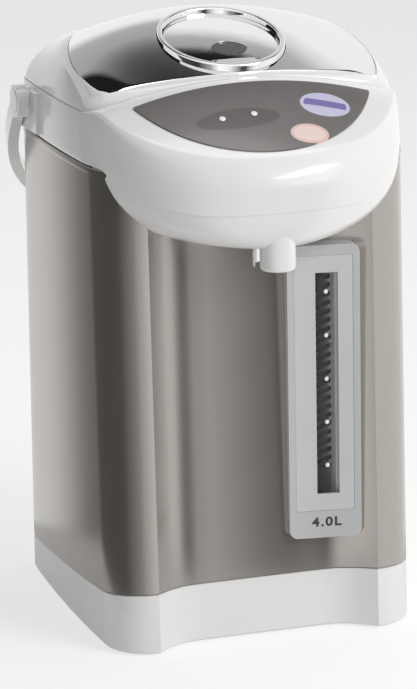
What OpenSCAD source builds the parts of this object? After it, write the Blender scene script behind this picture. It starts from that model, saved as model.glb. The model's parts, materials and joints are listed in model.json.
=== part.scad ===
// Electric thermo pot with an air pump under its lid, a level gauge and a bail handle.
// Millimetres, +Z up. The spout faces -Y, and the origin is on the floor under the middle of the body.

/* [Body] */
// Half of the body's width, at the middle of its sides
half_w = 94; // [88:1:100]
// Half of the body's depth at its top, at the corners
half_d = 94; // [90:1:98]
// Height of the seam between the steel jacket and the white collar
jacket_top = 278.5; // [265:1:295]
// How far the front and the back lean out between the collar seam and the floor
flare = 8; // [4:0.5:10]
// Radius of the two front corners
front_r = 26; // [22:1:30]
// Radius of the two rear corners
rear_r = 28; // [22:1:34]
// Depth of the hollow in the middle of the front face
front_dip = 14; // [8:1:16]
// Outward bulge of each side
side_bulge = 2; // [0.5:0.5:3]
// Thickness of the jacket's steel sheet
sheet_t = 0.9; // [0.6:0.1:1.5]
// How far the rolled lip at the jacket's top stands out
lip_out = 0.5; // [0.2:0.1:0.8]

/* [Base] */
// Height of the base's lower edge above the floor
foot_h = 1.2; // [1:0.2:3]
// Radius of a rubber foot
foot_r = 8; // [6:0.5:10]
// Height of the base seam at the middle of the body
base_h = 28.5; // [22:1:34]
// Rise of the base seam towards the front, per millimetre of depth
seam_slope = 0.08; // [0.02:0.01:0.1]
// Wall of the base moulding
base_wall = 2.4; // [1.8:0.2:3.2]
// Thickness of the bottom plate
bottom_t = 2.4; // [1.8:0.2:3.2]
// Radius of the base's lower edge
base_edge = 1.8; // [1.2:0.2:2.4]
// Shank radius of the bottom screws
screw_r = 1.7; // [1.2:0.1:2]

/* [Collar and beak] */
// Height of the white collar above the jacket
collar_h = 29; // [25:1:33]
// Wall of the collar, the spout cover and the lid
wall = 2.4; // [1.8:0.2:3]
// Distance of the beak's nose in front of the body's middle
nose_y = 138; // [130:1:146]
// Where the collar's outline starts to bend into the beak, in front of the middle
bend_y = 50; // [44:1:54]
// Fullness of the beak's outline, 2 being an ellipse
beak_full = 2.15; // [2:0.05:2.4]
// Height of the deck at the lid's front seam
deck_z = 323; // [318:0.5:328]
// Fall of the deck towards the nose past its brow, per millimetre
deck_slope = 0.735; // [0.65:0.005:0.8]
// Length over which the deck rolls into that fall
deck_brow = 10; // [6:1:14]
// Drop of the deck's crown at 70 mm from the middle
deck_crown = 8.3; // [6:0.1:10]
// Height of the parting line at the nose
nose_z = 269.5; // [264:0.5:274]
// Width of the rounding between the deck and the wall of the beak
beak_roll = 12; // [8:1:16]
// Height of the spout cover's underside
bowl_z = 235.5; // [230:0.5:240]

/* [Lid] */
// Distance of the lid's front seam in front of the body's middle
lid_front = 72; // [70:0.5:74]
// Height of the lid's summit
lid_top = 352.5; // [348:0.5:358]
// Fullness of the lid's shoulder, 2 being a quarter of an ellipse
lid_full = 1.6; // [1.5:0.05:2]
// Radius of the chrome cap seen from above
cap_r = 88; // [82:1:89]
// Thickness of the chrome cap
cap_t = 1.2; // [0.8:0.1:1.6]
// Distance of the press plate's middle in front of the body's middle
press_y = 28.5; // [26:0.5:30]
// Outer radius of the ring around the press plate
ring_r = 36.6; // [35:0.2:38]
// Width of that ring, seen from above
ring_w = 3.1; // [2.6:0.1:3.6]
// Tilt of the press plate's face
press_tilt = 18; // [14:1:22]
// Travel of the press plate
press_travel = 14; // [10:1:16]
// Half width of the lid release tab
tab_half = 13; // [10:0.5:14]

/* [Handle] */
// Distance of the handle's pivots behind the body's middle
pivot_y = 45; // [40:1:50]
// Height of the handle's pivots
pivot_z = 298.5; // [296:0.5:301]
// Reach of the bail from its pivots to the middle of its grip
bail_reach = 138; // [130:1:146]
// Angle of the folded bail below the horizontal
bail_fold = 39; // [32:1:41]
// Fullness of the bail's curve, 2 being an ellipse
bail_full = 2.3; // [2.1:0.1:2.7]
// Width of the bail's strap
bail_w = 10; // [8:0.5:12]
// Thickness of the bail's strap
bail_t = 6.5; // [5:0.5:8]
// Radius of the bail's bosses
boss_r = 9.75; // [8.5:0.25:10.5]
// Radius of the handle pins
pin_r = 4; // [3:0.25:5]

/* [Water path] */
// Distance of the inner pot's middle behind the body's middle
pot_y = 8; // [6:1:10]
// Outer radius of the inner pot
pot_r = 79; // [74:1:80]
// Wall of the inner pot
pot_wall = 0.8; // [0.6:0.1:1.2]
// Height of the inner pot's bottom
pot_z = 73; // [68:1:80]
// Radius of the pot's mouth
mouth_r = 62; // [58:1:63]
// Outer radius of the glass level tube
tube_r = 5; // [4:0.25:5.5]
// Wall of the glass level tube
tube_wall = 1; // [0.8:0.1:1.4]
// Outer radius of the nozzle
nozzle_r = 10; // [8:0.5:11]
// Distance of the nozzle in front of the body's middle
nozzle_y = 123; // [121:0.5:125]
// Length of the nozzle below the spout cover
nozzle_len = 12; // [9:0.5:14]

/* [Level gauge] */
// Distance of the gauge's middle to the right of the body's middle
gauge_x = 37; // [35:0.5:39]
// Width of the gauge frame
gauge_w = 42; // [40:0.5:44]
// Height of the gauge frame
gauge_h = 172; // [160:1:180]
// Height of the gauge frame's lower edge
gauge_z = 56.5; // [52:0.5:60]
// Turn of the gauge frame towards the body's middle
gauge_turn = 8.5; // [7:0.5:10]
// How far the gauge frame's left edge stands proud of the jacket at its foot
gauge_proud = 4.5; // [3.5:0.5:6]
// Width of the window slot
slot_w = 13; // [12:0.5:14]
// Height of the window slot
slot_h = 130; // [120:1:136]

/* [Power inlet] */
// Width of the inlet's flange
inlet_w = 42; // [38:1:50]
// Height of the inlet's flange
inlet_h = 28; // [26:1:34]
// Height of the inlet's middle
inlet_z = 46; // [44:1:54]

/* [Fits] */
// Gap between pieces that move past each other
clear = 0.4; // [0.3:0.05:0.5]
// Gap between pieces of one assembly
seat = 0.1; // [0.05:0.05:0.15]
// Running clearance of a pin in its bore, on the radius
run = 0.05; // [0.03:0.01:0.08]
// Width of the visible seams
seam_gap = 0.5; // [0.4:0.1:0.8]

/* [Hidden] */
$fn = 64;

seam_z = jacket_top + collar_h;
seam_edge = 0.6;
hole_r = ring_r + 0.3;
front_n = 28;
side_n = 8;
corner_n = 6;
hose_n = 12;
rear_n = 6;
eps = 0.01;

// ---------- Outlines seen from above ----------

function mix(a, b, t) = a + (b - a) * t;
function clamp01(t) = min(1, max(0, t));
function smooth(t) = let (c = clamp01(t)) c * c * (3 - 2 * c);
function power(x, e) = sign(x) * pow(abs(x), e);
function arc(x, y, r, a0, a1, n) =
    [for (i = [0:n - 1]) let (a = mix(a0, a1, i / n)) [x + r * cos(a), y + r * sin(a)]];
function lean(z) = flare * (1 - z / jacket_top);

// Rounded square of the body at height z, counter-clockwise from the left end of the bend line.
// Its first front_n steps run round the front, so the beak's outline can share their numbering.
function footprint(z, inset = 0) =
    let (k = half_w - side_bulge - inset,
         f = half_d + lean(z) - inset,
         rf = front_r - inset,
         rr = rear_r - inset,
         yf = -f + rf,
         yr = f - rr,
         edge_n = front_n - 2 * corner_n - 2)
    concat(
        [[-bulged(k, yf, yr, -bend_y), -bend_y]],
        arc(-k + rf, yf, rf, 180, 270, corner_n),
        [for (i = [0:edge_n - 1])
            let (t = -1 + 2 * i / edge_n)
            [t * (k - rf), -f + front_dip * pow(1 - pow(abs(t), 9), 2)]],
        arc(k - rf, yf, rf, -90, 0, corner_n),
        [[k, yf]],
        [for (i = [0:side_n - 1]) let (y = mix(-bend_y, yr, i / side_n)) [bulged(k, yf, yr, y), y]],
        arc(k - rr, yr, rr, 0, 90, corner_n),
        [for (i = [0:rear_n - 1]) [mix(k - rr, -k + rr, i / rear_n), f]],
        arc(-k + rr, yr, rr, 90, 180, corner_n),
        [for (i = [0:side_n - 1]) let (y = mix(yr, -bend_y, i / side_n)) [-bulged(k, yf, yr, y), y]]);

// Half width of the bulged side at y
function bulged(k, yf, yr, y) = k + side_bulge * (1 - pow((2 * y - yf - yr) / (yr - yf), 2));

// The footprint with its front replaced by half of a superellipse of the given reach
function fronted(z, inset, half, reach, fullness) =
    let (base = footprint(z, inset))
    [for (i = [0:len(base) - 1])
        i > front_n ? base[i] :
        let (a = 180 + 180 * i / front_n)
        [half * power(cos(a), 2 / fullness), -bend_y + reach * power(sin(a), 2 / fullness)]];

function bend_half(inset) =
    let (k = half_w - side_bulge - inset, f = half_d - inset)
    bulged(k, -f + front_r - inset, f - rear_r + inset, -bend_y);

// Outline of the collar with its beak
function collar_outline(inset = 0) =
    fronted(jacket_top, inset, bend_half(inset), nose_y - bend_y - inset, beak_full);

// Outline of the lid's seam
function lid_outline(inset = 0) =
    fronted(jacket_top, inset + 1.4, bend_half(inset + 1.4), lid_front - bend_y - inset, 4);

// Outline of the lid's tray, which hangs inside the collar
function tray_outline(inset = 0) =
    let (rear = half_d - 7 - inset)
    [for (p = fronted(jacket_top, inset + 4.6, bend_half(inset + 4.6), lid_front - bend_y - 5 - inset, 4))
        [p[0], min(p[1], rear)]];

// ---------- Heights of the moulded surfaces ----------

function base_seam(y) = base_h - seam_slope * y;
function brow(y) = norm([max(0, -lid_front - y), deck_brow]);
function deck(x, y) = deck_z - deck_slope * (brow(y) - deck_brow) - deck_crown * pow(x / 70, 2);
function deck_fall(y) = atan(deck_slope * max(0, -lid_front - y) / brow(y));
function collar_top(x, y) = mix(seam_z, deck(x, y), smooth((-bend_y - y) / (lid_front - bend_y)));
function parting(y) = mix(jacket_top + 1.5, nose_z, smooth((-half_d + 24 - y) / (nose_y - half_d + 20)));
function dome(x, y) =
    lid_top - 0.43 * (norm([y - 14, 18]) - 18) - (0.00107 + 0.000014 * (y + 66)) * x * x;
function ring_plane(y) = dome(0, -press_y) + 0.6 + tan(press_tilt) * (y + press_y);

// ---------- Skins ----------

// Skin through rings of equally many points. A closed skin joins its last ring to its first,
// an open one is capped at both ends.
module skin(rings, closed = false) {
    n = len(rings[0]);
    m = len(rings);
    last = closed ? m : m - 1;
    sides = [for (i = [0:last - 1], j = [0:n - 1])
        let (a = i * n, b = ((i + 1) % m) * n, k = (j + 1) % n)
        each [[a + j, b + k, a + k], [a + j, b + j, b + k]]];
    caps = closed ? [] : [[for (j = [0:n - 1]) j], [for (j = [n - 1:-1:0]) (m - 1) * n + j]];
    polyhedron([for (r = rings) each r], concat(caps, sides));
}

function at_height(outline, z) = [for (p = outline) [p[0], p[1], z]];

// The footprint on the sloping seam between base and jacket
function seam_ring(inset, lift) =
    let (ref = footprint(base_h, inset))
    [for (i = [0:len(ref) - 1])
        let (z = base_seam(ref[i][1]), p = footprint(z, inset)[i])
        [p[0], p[1], z + lift]];

// Solid prism of the body, grown by grow, between two heights
module body_block(z0, z1, grow = 0) {
    skin([at_height(footprint(z0, -grow), z0), at_height(footprint(z1, -grow), z1)]);
}

// Lower edge of the collar: over the jacket it lies in the seam, along the beak at the parting line
function collar_foot(inset) =
    let (outer = collar_outline(inset))
    [for (i = [0:len(outer) - 1])
        let (p = outer[i], beak = i > 1 && i < front_n - 1)
        [p[0], p[1], parting(p[1]) - (beak ? 0 : 1.5 - seam_gap)]];

// Ring k of the collar's outer (inset 0) or inner surface: a wall, then a rounding, then the deck
function collar_ring(inset, drop, roll_a, deck_t) =
    let (outer = collar_outline(inset), seam = lid_outline(-seam_gap + inset))
    [for (i = [0:len(outer) - 1])
        let (d = seam[i] - outer[i],
             span = norm(d),
             roll = min(beak_roll, span),
             p = outer[i] + d / span * mix(roll * (1 - cos(roll_a)), span, deck_t),
             z0 = parting(outer[i][1]),
             z = mix(z0, collar_top(p[0], p[1]), sin(roll_a)))
        [p[0], p[1], z - drop]];

// Ring of the spout cover between its parting line and its flat underside
bowl_half = 24;
bowl_reach = 71;
bowl_full = 2.3;
function bowl_ring(inset, a) =
    let (outer = collar_outline(inset + seam_gap),
         low = fronted(jacket_top, 0, bowl_half - inset, bowl_reach - inset, 2.2))
    [for (i = [2:front_n - 2])
        let (top = outer[i],
             p = mix(low[i], top, power(cos(a), 2 / bowl_full)),
             end = i == 2 || i == front_n - 2)
        [p[0], p[1] - (end ? 2 * inset * cos(a) : 0), 
            mix(parting(top[1]) - seam_gap, bowl_z + inset, power(sin(a), 2 / bowl_full))]];

// Ring of the lid between its seam and the chrome cap's edge
function cap_edge(p) =
    let (c = [0, -press_y - 1.5], d = p - c,
         front = d[1] < 0 ? (lid_front - 6 - press_y - 1.5) / -d[1] : 10)
    c + d * min(cap_r / norm(d), front);

function lid_ring(inset, a) =
    [for (s = lid_outline(inset))
        let (b = cap_edge(s),
             p = mix(b, s, power(cos(a), 2 / lid_full)),
             z0 = collar_top(s[0], s[1]))
        [p[0], p[1], mix(z0, dome(b[0], b[1]) - inset, power(sin(a), 2 / lid_full))]];

// Ring on the dome, from the cap's edge (0) to the edge of the pump's hole (1)
function dome_ring(drop, t, hole) =
    let (seam = lid_outline(0),
         c = [0, -press_y],
         first = seam[0] - c,
         start = atan2(first[0], first[1]))
    [for (i = [0:len(seam) - 1])
        let (b = cap_edge(seam[i]),
             a = start - (360 + 2 * start) * i / front_n,
             d = i > front_n ? unit(b - c) : [sin(a), cos(a)],
             p = mix(b, c + hole * d, t))
        [p[0], p[1], dome(p[0], p[1]) - drop]];
dome_steps = [0.02, 0.25, 0.5, 0.75, 1];
cap_gap = 0.4;

// ---------- Small parts that repeat ----------

module corners(x, y_front, y_rear) {
    for (sx = [-1, 1]) {
        translate([sx * x, -y_front, 0]) children();
        translate([sx * x, y_rear, 0]) children();
    }
}

module tube(r, bore, h) {
    difference() {
        cylinder(r = r, h = h);
        translate([0, 0, -eps]) cylinder(r = bore, h = h + 2 * eps);
    }
}

// Ring of a hose round point p, square to the travel d. The unit vector side is square to the route.
function hose_ring(p, d, side, r) =
    let (w = cross(d, side))
    [for (j = [0:hose_n - 1]) let (b = 360 * j / hose_n) p + r * (cos(b) * side + sin(b) * w)];

// Hose along a flat route, given as pairs of a point and its direction of travel
module hose(route, side, r, bore) {
    skin(concat(
        [for (s = route) hose_ring(s[0], s[1], side, r)],
        [for (i = [len(route) - 1:-1:0]) hose_ring(route[i][0], route[i][1], side, bore)]
    ), closed = true);
}

// Steps of an elliptical turn about c, of radii a and b, which starts off towards up and ends along
function turn(c, a, b, along, up, last) = [for (t = [0:22.5:last]) [
    c - a * cos(t) * along + b * sin(t) * up,
    unit(a * sin(t) * along + b * cos(t) * up)]];
function unit(v) = v / norm(v);
function level(p) = [p[0], p[1], 0];

module rounded_plate(w, h, r, t) {
    rotate([90, 0, 0]) translate([0, 0, -t]) linear_extrude(t) rounded_rect(w, h, r);
}

module rounded_rect(w, h, r) {
    translate([-w / 2 + r, 0]) square([w - 2 * r, h]);
    translate([-w / 2, r]) square([w, h - 2 * r]);
    for (x = [-w / 2 + r, w / 2 - r], y = [r, h - r]) translate([x, y]) circle(r = r);
}

// ---------- Base ----------

screw_x = half_w - 25;
screw_yf = half_d - 22;
screw_yr = half_d - 18;
foot_x = half_w - 42;
foot_yf = half_d - 34;
foot_yr = half_d - 26;
peg_r = 2.5;
plate_z = foot_h + 2.4;
post_r = 5;
post_h = 11;
head_t = 1.6;
strut_z = 40;
strut_x = half_w - 18;

module rubber_feet() {
    color("#3a3a3c") corners(foot_x, foot_yf, foot_yr) {
        rotate_extrude() polygon([[0, 0], [foot_r - 1, 0], [foot_r, 1], [foot_r, plate_z - seat / 2], [0, plate_z - seat / 2]]);
        cylinder(r = peg_r, h = plate_z + bottom_t);
    }
}

module bottom_plate() {
    color("#d9d8d4") difference() {
        translate([0, 0, plate_z]) linear_extrude(bottom_t)
            polygon(footprint(plate_z + bottom_t, base_wall + seat));
        corners(foot_x, foot_yf, foot_yr) cylinder(r = peg_r + seat / 2, h = 20);
        corners(screw_x, screw_yf, screw_yr) cylinder(r = screw_r + seat, h = 20);
    }
}

module bottom_screws() {
    color("#b9babd") corners(screw_x, screw_yf, screw_yr) {
        translate([0, 0, plate_z - head_t - seat / 2]) cylinder(r = screw_r * 1.9, h = head_t);
        translate([0, 0, plate_z - seat]) cylinder(r = screw_r, h = post_h);
    }
}

module base_cover() {
    color("#f1f0ed") {
        skin([
            at_height(footprint(0, base_edge), foot_h),
            at_height(footprint(0, base_edge * 0.35), foot_h + base_edge * 0.35),
            at_height(footprint(0, 0), foot_h + base_edge),
            seam_ring(0, -seam_gap - seam_edge),
            seam_ring(seam_edge, -seam_gap),
            seam_ring(base_wall, -seam_gap),
            at_height(footprint(0, base_wall), foot_h + base_edge),
            at_height(footprint(0, base_edge + base_wall), foot_h)
        ], closed = true);
        corners(screw_x, screw_yf, screw_yr)
            translate([0, 0, plate_z + bottom_t + seat / 2]) tube(post_r, screw_r + seat / 2, post_h);
        for (sx = [-1, 1]) {
            translate([sx * screw_x, -screw_yf, 0]) rotate([0, 0, sx > 0 ? -45 : -135])
                translate([post_r - 1, -1, plate_z + bottom_t + 1]) cube([front_r - post_r + 0.5, 2, 9]);
            translate([sx * screw_x, screw_yr, 0]) rotate([0, 0, sx > 0 ? 45 : 135])
                translate([post_r - 1, -1, plate_z + bottom_t + 1]) cube([rear_r - 2 * post_r, 2, 9]);
            translate([sx * strut_x, pot_y, plate_z + bottom_t + seat / 2])
                cylinder(r = post_r, h = strut_z - plate_z - bottom_t - seat);
            translate([sx * (strut_x + half_w) / 2, pot_y, plate_z + bottom_t + 7])
                cube([half_w - strut_x - 2, 2, 12], center = true);
        }
    }
}

// ---------- Jacket ----------

module body_jacket() {
    color("#a8a29b") difference() {
        skin([
            seam_ring(0, 0),
            at_height(footprint(jacket_top - 4, 0), jacket_top - 4),
            at_height(footprint(jacket_top - 4, -lip_out * 0.8), jacket_top - 3.2),
            at_height(footprint(jacket_top - 4, -lip_out), jacket_top - 2),
            at_height(footprint(jacket_top, -lip_out * 0.8), jacket_top - 0.8),
            at_height(footprint(jacket_top, 0), jacket_top),
            at_height(footprint(jacket_top, sheet_t), jacket_top),
            seam_ring(sheet_t, 0)
        ], closed = true);
        gauge_place() translate([-channel_w / 2 - 1, -20, channel_z - 1])
            cube([channel_w + 2, 50, channel_h + 2]);
        translate([-30, -half_d - 20, bowl_z + 4]) cube([82, 50, 26]);
        translate([-inlet_w / 2 + socket_rim, half_d - 20, inlet_z - inlet_h / 2 + socket_rim])
            cube([inlet_w - 2 * socket_rim, 50, inlet_h - 2 * socket_rim]);
    }
}

// ---------- Power inlet ----------

inlet_y = half_d + lean(inlet_z + inlet_h / 2);
socket_w = inlet_w - 16;
socket_h = inlet_h - 12;
socket_d = 16;
socket_rim = 4;
flange_t = 1.8;

module inlet_housing() {
    color("#2c2c2e") difference() {
        union() {
            translate([0, half_d + lean(inlet_z), inlet_z]) rotate([atan(flare / jacket_top), 0, 0])
                translate([0, seat + flange_t, -inlet_h / 2]) rotate([0, 0, 180])
                rounded_plate(inlet_w, inlet_h, 5, flange_t);
            translate([-inlet_w / 2 + socket_rim + seat, inlet_y - socket_d - 3, inlet_z - inlet_h / 2 + socket_rim + seat])
                cube([inlet_w - 2 * (socket_rim + seat), socket_d + 4.4, inlet_h - 2 * (socket_rim + seat)]);
        }
        translate([-socket_w / 2, inlet_y - socket_d, inlet_z - socket_h / 2])
            cube([socket_w, socket_d + 20, socket_h]);
        for (x = [-6, 6]) translate([x, 0, inlet_z]) rotate([-90, 0, 0]) cylinder(r = 2 + seat / 2, h = 200);
    }
}

module inlet_pins() {
    color("#c8c2a8") for (x = [-6, 6])
        translate([x, inlet_y - socket_d - 8, inlet_z]) rotate([-90, 0, 0]) {
            cylinder(r = 2, h = 19);
            translate([0, 0, 19]) sphere(r = 2);
        }
}

// ---------- Inner pot and its heating ----------

heater_r = 52;
heater_t = 7;
nut_h = 5;
stud_r = 3;

module at_pot() {
    translate([0, pot_y, 0]) children();
}

rim_z = seam_z - 16.2;
neck_z = rim_z - 24;

module inner_pot() {
    color("#cfd0d2") at_pot() rotate_extrude($fn = 96) polygon(concat(
        [[0, pot_z], [pot_r - 8, pot_z]],
        [for (a = [-60:30:0]) [pot_r - 8 + 8 * cos(a), pot_z + 8 + 8 * sin(a)]],
        [[pot_r, neck_z], [mouth_r + pot_wall, neck_z + 14], [mouth_r + pot_wall, rim_z - pot_wall],
         [mouth_r + 8, rim_z - pot_wall], [mouth_r + 8, rim_z], [mouth_r, rim_z],
         [mouth_r, neck_z + 14 - pot_wall], [pot_r - pot_wall, neck_z - pot_wall]],
        [for (a = [0:-30:-60]) [pot_r - 8 + (8 - pot_wall) * cos(a), pot_z + 8 + (8 - pot_wall) * sin(a)]],
        [[pot_r - 8, pot_z + pot_wall], [0, pot_z + pot_wall]]));
}

module heater_plate() {
    color("#b4b6b8") at_pot() {
        translate([0, 0, pot_z - heater_t]) difference() {
            cylinder(r = heater_r, h = heater_t - seat);
            translate([0, 0, -eps]) cylinder(r = stud_r + seat, h = 4);
        }
        translate([0, 0, pot_z - heater_t]) rotate_extrude($fn = 64) translate([42, 0]) circle(r = 3.5, $fn = 24);
        translate([0, 0, strut_z + 2 - nut_h - 4]) cylinder(r = stud_r, h = pot_z - heater_t - strut_z + nut_h + 4);
    }
}

module pot_bracket() {
    color("#9a9c9f") at_pot() difference() {
        union() {
            translate([-strut_x - post_r, -11, strut_z]) cube([2 * (strut_x + post_r), 22, 2]);
            for (sy = [-1, 1]) translate([-strut_x - post_r, sy > 0 ? 9.5 : -11, strut_z + 2 - eps])
                cube([2 * (strut_x + post_r), 1.5, 6]);
        }
        translate([0, 0, strut_z - 1]) cylinder(r = stud_r + seat, h = 4);
    }
}

module bracket_nut() {
    color("#c4c6c8") at_pot() translate([0, 0, strut_z - nut_h]) difference() {
        cylinder(r = stud_r * 1.9, h = nut_h, $fn = 6);
        translate([0, 0, -1]) cylinder(r = stud_r + run, h = nut_h + 2);
    }
}

module thermostats() {
    color("#d8cfb4") at_pot() for (x = [-24, 24]) translate([x, 12, pot_z - heater_t - 8]) {
        cylinder(r = 8, h = 8);
        for (s = [-1, 1]) translate([s * 4 - 1.5, -0.4, -5]) cube([3, 0.8, 5 + eps]);
    }
}

module thermal_fuse() {
    color("#c9c9c4") at_pot() translate([-9, -22, pot_z - heater_t - 2.2]) {
        rotate([0, 90, 0]) cylinder(r = 2.2, h = 18);
        translate([2, -4, 0]) cube([14, 8, 2.2]);
    }
}

module keep_warm_band() {
    color("#8f8a80") at_pot() translate([0, 0, pot_z + 22]) tube(pot_r + 1.6, pot_r + seat, 40);
}

// ---------- Level gauge ----------

bezel_t = 2.5;
glass_t = 1.5;
glass_back = bezel_t + glass_t + 2 * seat;
tube_in = glass_back + tube_r + 0.6;
gauge_face = half_d + lean(gauge_z) - front_dip + gauge_proud + gauge_w / 2 * tan(gauge_turn);

// Frame of the gauge: x to the right on its face, y into the body, z up from its lower edge
module gauge_place() {
    translate([gauge_x, -gauge_face, gauge_z]) rotate([0, 0, -gauge_turn]) children();
}

function gauge_point(y, z) =
    [gauge_x + y * sin(gauge_turn), -gauge_face + y * cos(gauge_turn), gauge_z + z];

panel_w = gauge_w - 8;
panel_z = 16;
panel_h = gauge_h - panel_z - 6;
slot_z = 26;
slot_x = 1.75;
channel_w = 2 * tube_r + 8;
channel_d = 2 * tube_r + 5;
channel_z = slot_z - 20;
channel_h = slot_h + 32;
well_z = channel_z + 14;
well_h = channel_h - 26;
stub_r = 3.5;
stub_y = glass_back + channel_d + 2.5;
stub_h = 10;
bore_r = 2;

module gauge_frame() {
    color("#b9bab9") difference() {
        gauge_place() difference() {
            rounded_plate(gauge_w, gauge_h, 5, 18);
            translate([-gauge_w / 2 + bezel_t, bezel_t, bezel_t])
                cube([gauge_w - 2 * bezel_t, 20, gauge_h - 2 * bezel_t]);
            translate([slot_x - slot_w / 2, -1, slot_z]) cube([slot_w, 10, slot_h]);
            translate([-panel_w / 2, -1, panel_z]) cube([panel_w, 2, panel_h]);
        }
        body_block(gauge_z - 10, gauge_z + gauge_h + 10, seat);
    }
}

module gauge_panel() {
    color("#d5d6d5") gauge_place() difference() {
        translate([-panel_w / 2 + seat, 0.2, panel_z + seat])
            cube([panel_w - 2 * seat, 0.8 - seat / 2, panel_h - 2 * seat]);
        translate([slot_x - slot_w / 2, -1, slot_z]) cube([slot_w, 3, slot_h]);
    }
}

module gauge_window() {
    color("#e4ecee", 0.35) gauge_place()
        translate([slot_x - slot_w / 2 - 2, bezel_t + seat / 2, slot_z - 2]) cube([slot_w + 4, glass_t, slot_h + 4]);
}

module gauge_channel() {
    color("#c7c8c8") gauge_place() difference() {
        union() {
            translate([-channel_w / 2, glass_back, channel_z]) cube([channel_w, channel_d, channel_h]);
            for (z = [channel_z, channel_z + channel_h - 12])
                translate([-6, glass_back + channel_d - 1, z]) cube([12, 8, 12]);
            translate([0, stub_y, channel_z - stub_h]) cylinder(r = stub_r, h = channel_h + 2 * stub_h);
        }
        translate([-channel_w / 2 + 2, glass_back - 1, well_z]) cube([channel_w - 4, channel_d - 1, well_h]);
        translate([-7, glass_back + channel_d, channel_z + 12]) cube([14, 8, channel_h - 24]);
        translate([0, tube_in, well_z - 6]) cylinder(r = tube_r + seat, h = well_h + 12);
        for (z = [channel_z - stub_h - 1, channel_z + channel_h - 6])
            translate([0, stub_y, z]) cylinder(r = bore_r, h = stub_h + 7);
        for (z = [channel_z + 6, channel_z + channel_h - 6])
            translate([0, tube_in, z]) rotate([-90, 0, 0]) cylinder(r = bore_r, h = stub_y - tube_in);
        for (z = [channel_z + 6, channel_z + channel_h - 8])
            translate([0, tube_in, z - 1]) cylinder(r = bore_r, h = 4);
    }
}

module gauge_card() {
    color("#5b5d5e") gauge_place()
        translate([-channel_w / 2 + 2.2, glass_back + channel_d - 2.9, well_z + 0.5])
            cube([channel_w - 4.4, 0.8, well_h - 1]);
}

module level_tube() {
    color("#dfe8ea", 0.4) gauge_place()
        translate([0, tube_in, well_z - 5.5]) tube(tube_r, tube_r - tube_wall, well_h + 11);
}

// ---------- Water path ----------

hose_wall = 2;
hose_r = stub_r + hose_wall;
hose_bore = (stub_r + seat / 2) / cos(180 / hose_n);
outlet = [30, -47, pot_z + 2];
outlet_low = pot_z - 24;
stub_low = gauge_point(stub_y, channel_z - stub_h);
stub_high = gauge_point(stub_y, channel_z + channel_h);
inlet_level = bowl_z + 11.5;
valve = [20, -nozzle_y + 15, inlet_level + 5];
valve_r = 9;
valve_h = 19;
weight_r = 5;
weight_h = 6;
spout_tip = [0, -nozzle_y, bowl_z - nozzle_len + 4];
nozzle_top = bowl_z + 18;
guard_r = nozzle_r + 4;
guard_h = 9;

module outlet_elbow() {
    color("#c9cac8") translate([outlet[0], outlet[1], outlet_low - stub_h])
        tube(stub_r, bore_r, pot_z - outlet_low + stub_h - seat);
}

// From the pot's outlet down, round under it and up to the gauge's foot
module lower_hose() {
    to = stub_low - outlet;
    along = unit(level(to));
    half = norm(level(to)) / 2;
    low = [0, 0, -1];
    start = [outlet[0], outlet[1], outlet_low - 1];
    color("#e8e4da") hose(concat(
        [[start, low]],
        turn([outlet[0], outlet[1], outlet_low - stub_h - 1] + along * half, half, half, along, low, 180),
        [[stub_low + [0, 0, stub_h - 1], -low]]
    ), cross(along, low), hose_r, hose_bore);
}

module upper_hose() {
    to = valve - stub_high;
    along = unit(level(to));
    start = stub_high + [0, 0, 0.5];
    bend = 12;
    corner = [start[0], start[1], inlet_level - bend];
    end = [start[0], start[1], inlet_level] + along * (norm(level(to)) - valve_r - 1);
    color("#e8e4da") hose(concat(
        [[start, [0, 0, 1]]],
        turn(corner + along * bend, bend, bend, along, [0, 0, 1], 90),
        [[end, along]]
    ), cross(along, [0, 0, 1]), hose_r, hose_bore);
}

module valve_housing() {
    to = stub_high - valve;
    color("#d2d3d1") difference() {
        union() {
            translate(valve) cylinder(r = valve_r, h = valve_h);
            translate([valve[0], valve[1], inlet_level - 4]) cylinder(r = 5, h = 10);
            translate([valve[0], valve[1], inlet_level]) rotate([0, 90, atan2(to[1], to[0])])
                cylinder(r = stub_r, h = valve_r + stub_h + 4);
            translate([valve[0], valve[1], valve[2] + valve_h - eps]) cylinder(r = stub_r, h = 4);
        }
        translate([valve[0], valve[1], valve[2] + 3]) cylinder(r = valve_r - 2, h = valve_h - 5);
        translate([valve[0], valve[1], inlet_level]) cylinder(r = bore_r, h = valve_h + 20);
        translate([valve[0], valve[1], inlet_level]) rotate([0, 90, atan2(to[1], to[0])])
            cylinder(r = bore_r, h = valve_r + stub_h + 10);
    }
}

module valve_weight() {
    color("#8b8d90") translate([valve[0], valve[1], valve[2] + 3 + clear]) {
        cylinder(r = weight_r, h = weight_h);
        translate([0, 0, weight_h - eps]) cylinder(r1 = weight_r, r2 = 2, h = 3);
    }
}

module spout_pipe() {
    to = spout_tip - valve;
    along = unit(level(to));
    half = norm(level(to)) / 2;
    up = [0, 0, 1];
    start = valve + up * (valve_h + seat);
    color("#e8e4da") hose(concat(
        [[start, up]],
        turn(start + along * half + up * 4.5, half, 9, along, up, 180),
        [[spout_tip, -up]]
    ), cross(along, up), stub_r + 1.5, hose_bore);
}

module nozzle() {
    color("#f1f0ed") translate([0, -nozzle_y, bowl_z - nozzle_len]) rotate_extrude() polygon([
        [stub_r + 1.5 + seat, 2], [nozzle_r - 2, 0], [nozzle_r - 0.6, 0.5], [nozzle_r, 1.8],
        [nozzle_r, nozzle_top - bowl_z + nozzle_len], [stub_r + 1.5 + seat, nozzle_top - bowl_z + nozzle_len]]);
}

// Curved guard behind the nozzle's left side
module nozzle_guard() {
    color("#c9cacc") intersection() {
        translate([0, -nozzle_y, bowl_z - guard_h]) tube(guard_r, guard_r - 0.8, guard_h - seat);
        translate([-guard_r - 1, -nozzle_y, 0]) cube([guard_r - 3, guard_r + 1, bowl_z]);
    }
}

// ---------- Spout cover and collar ----------

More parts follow.
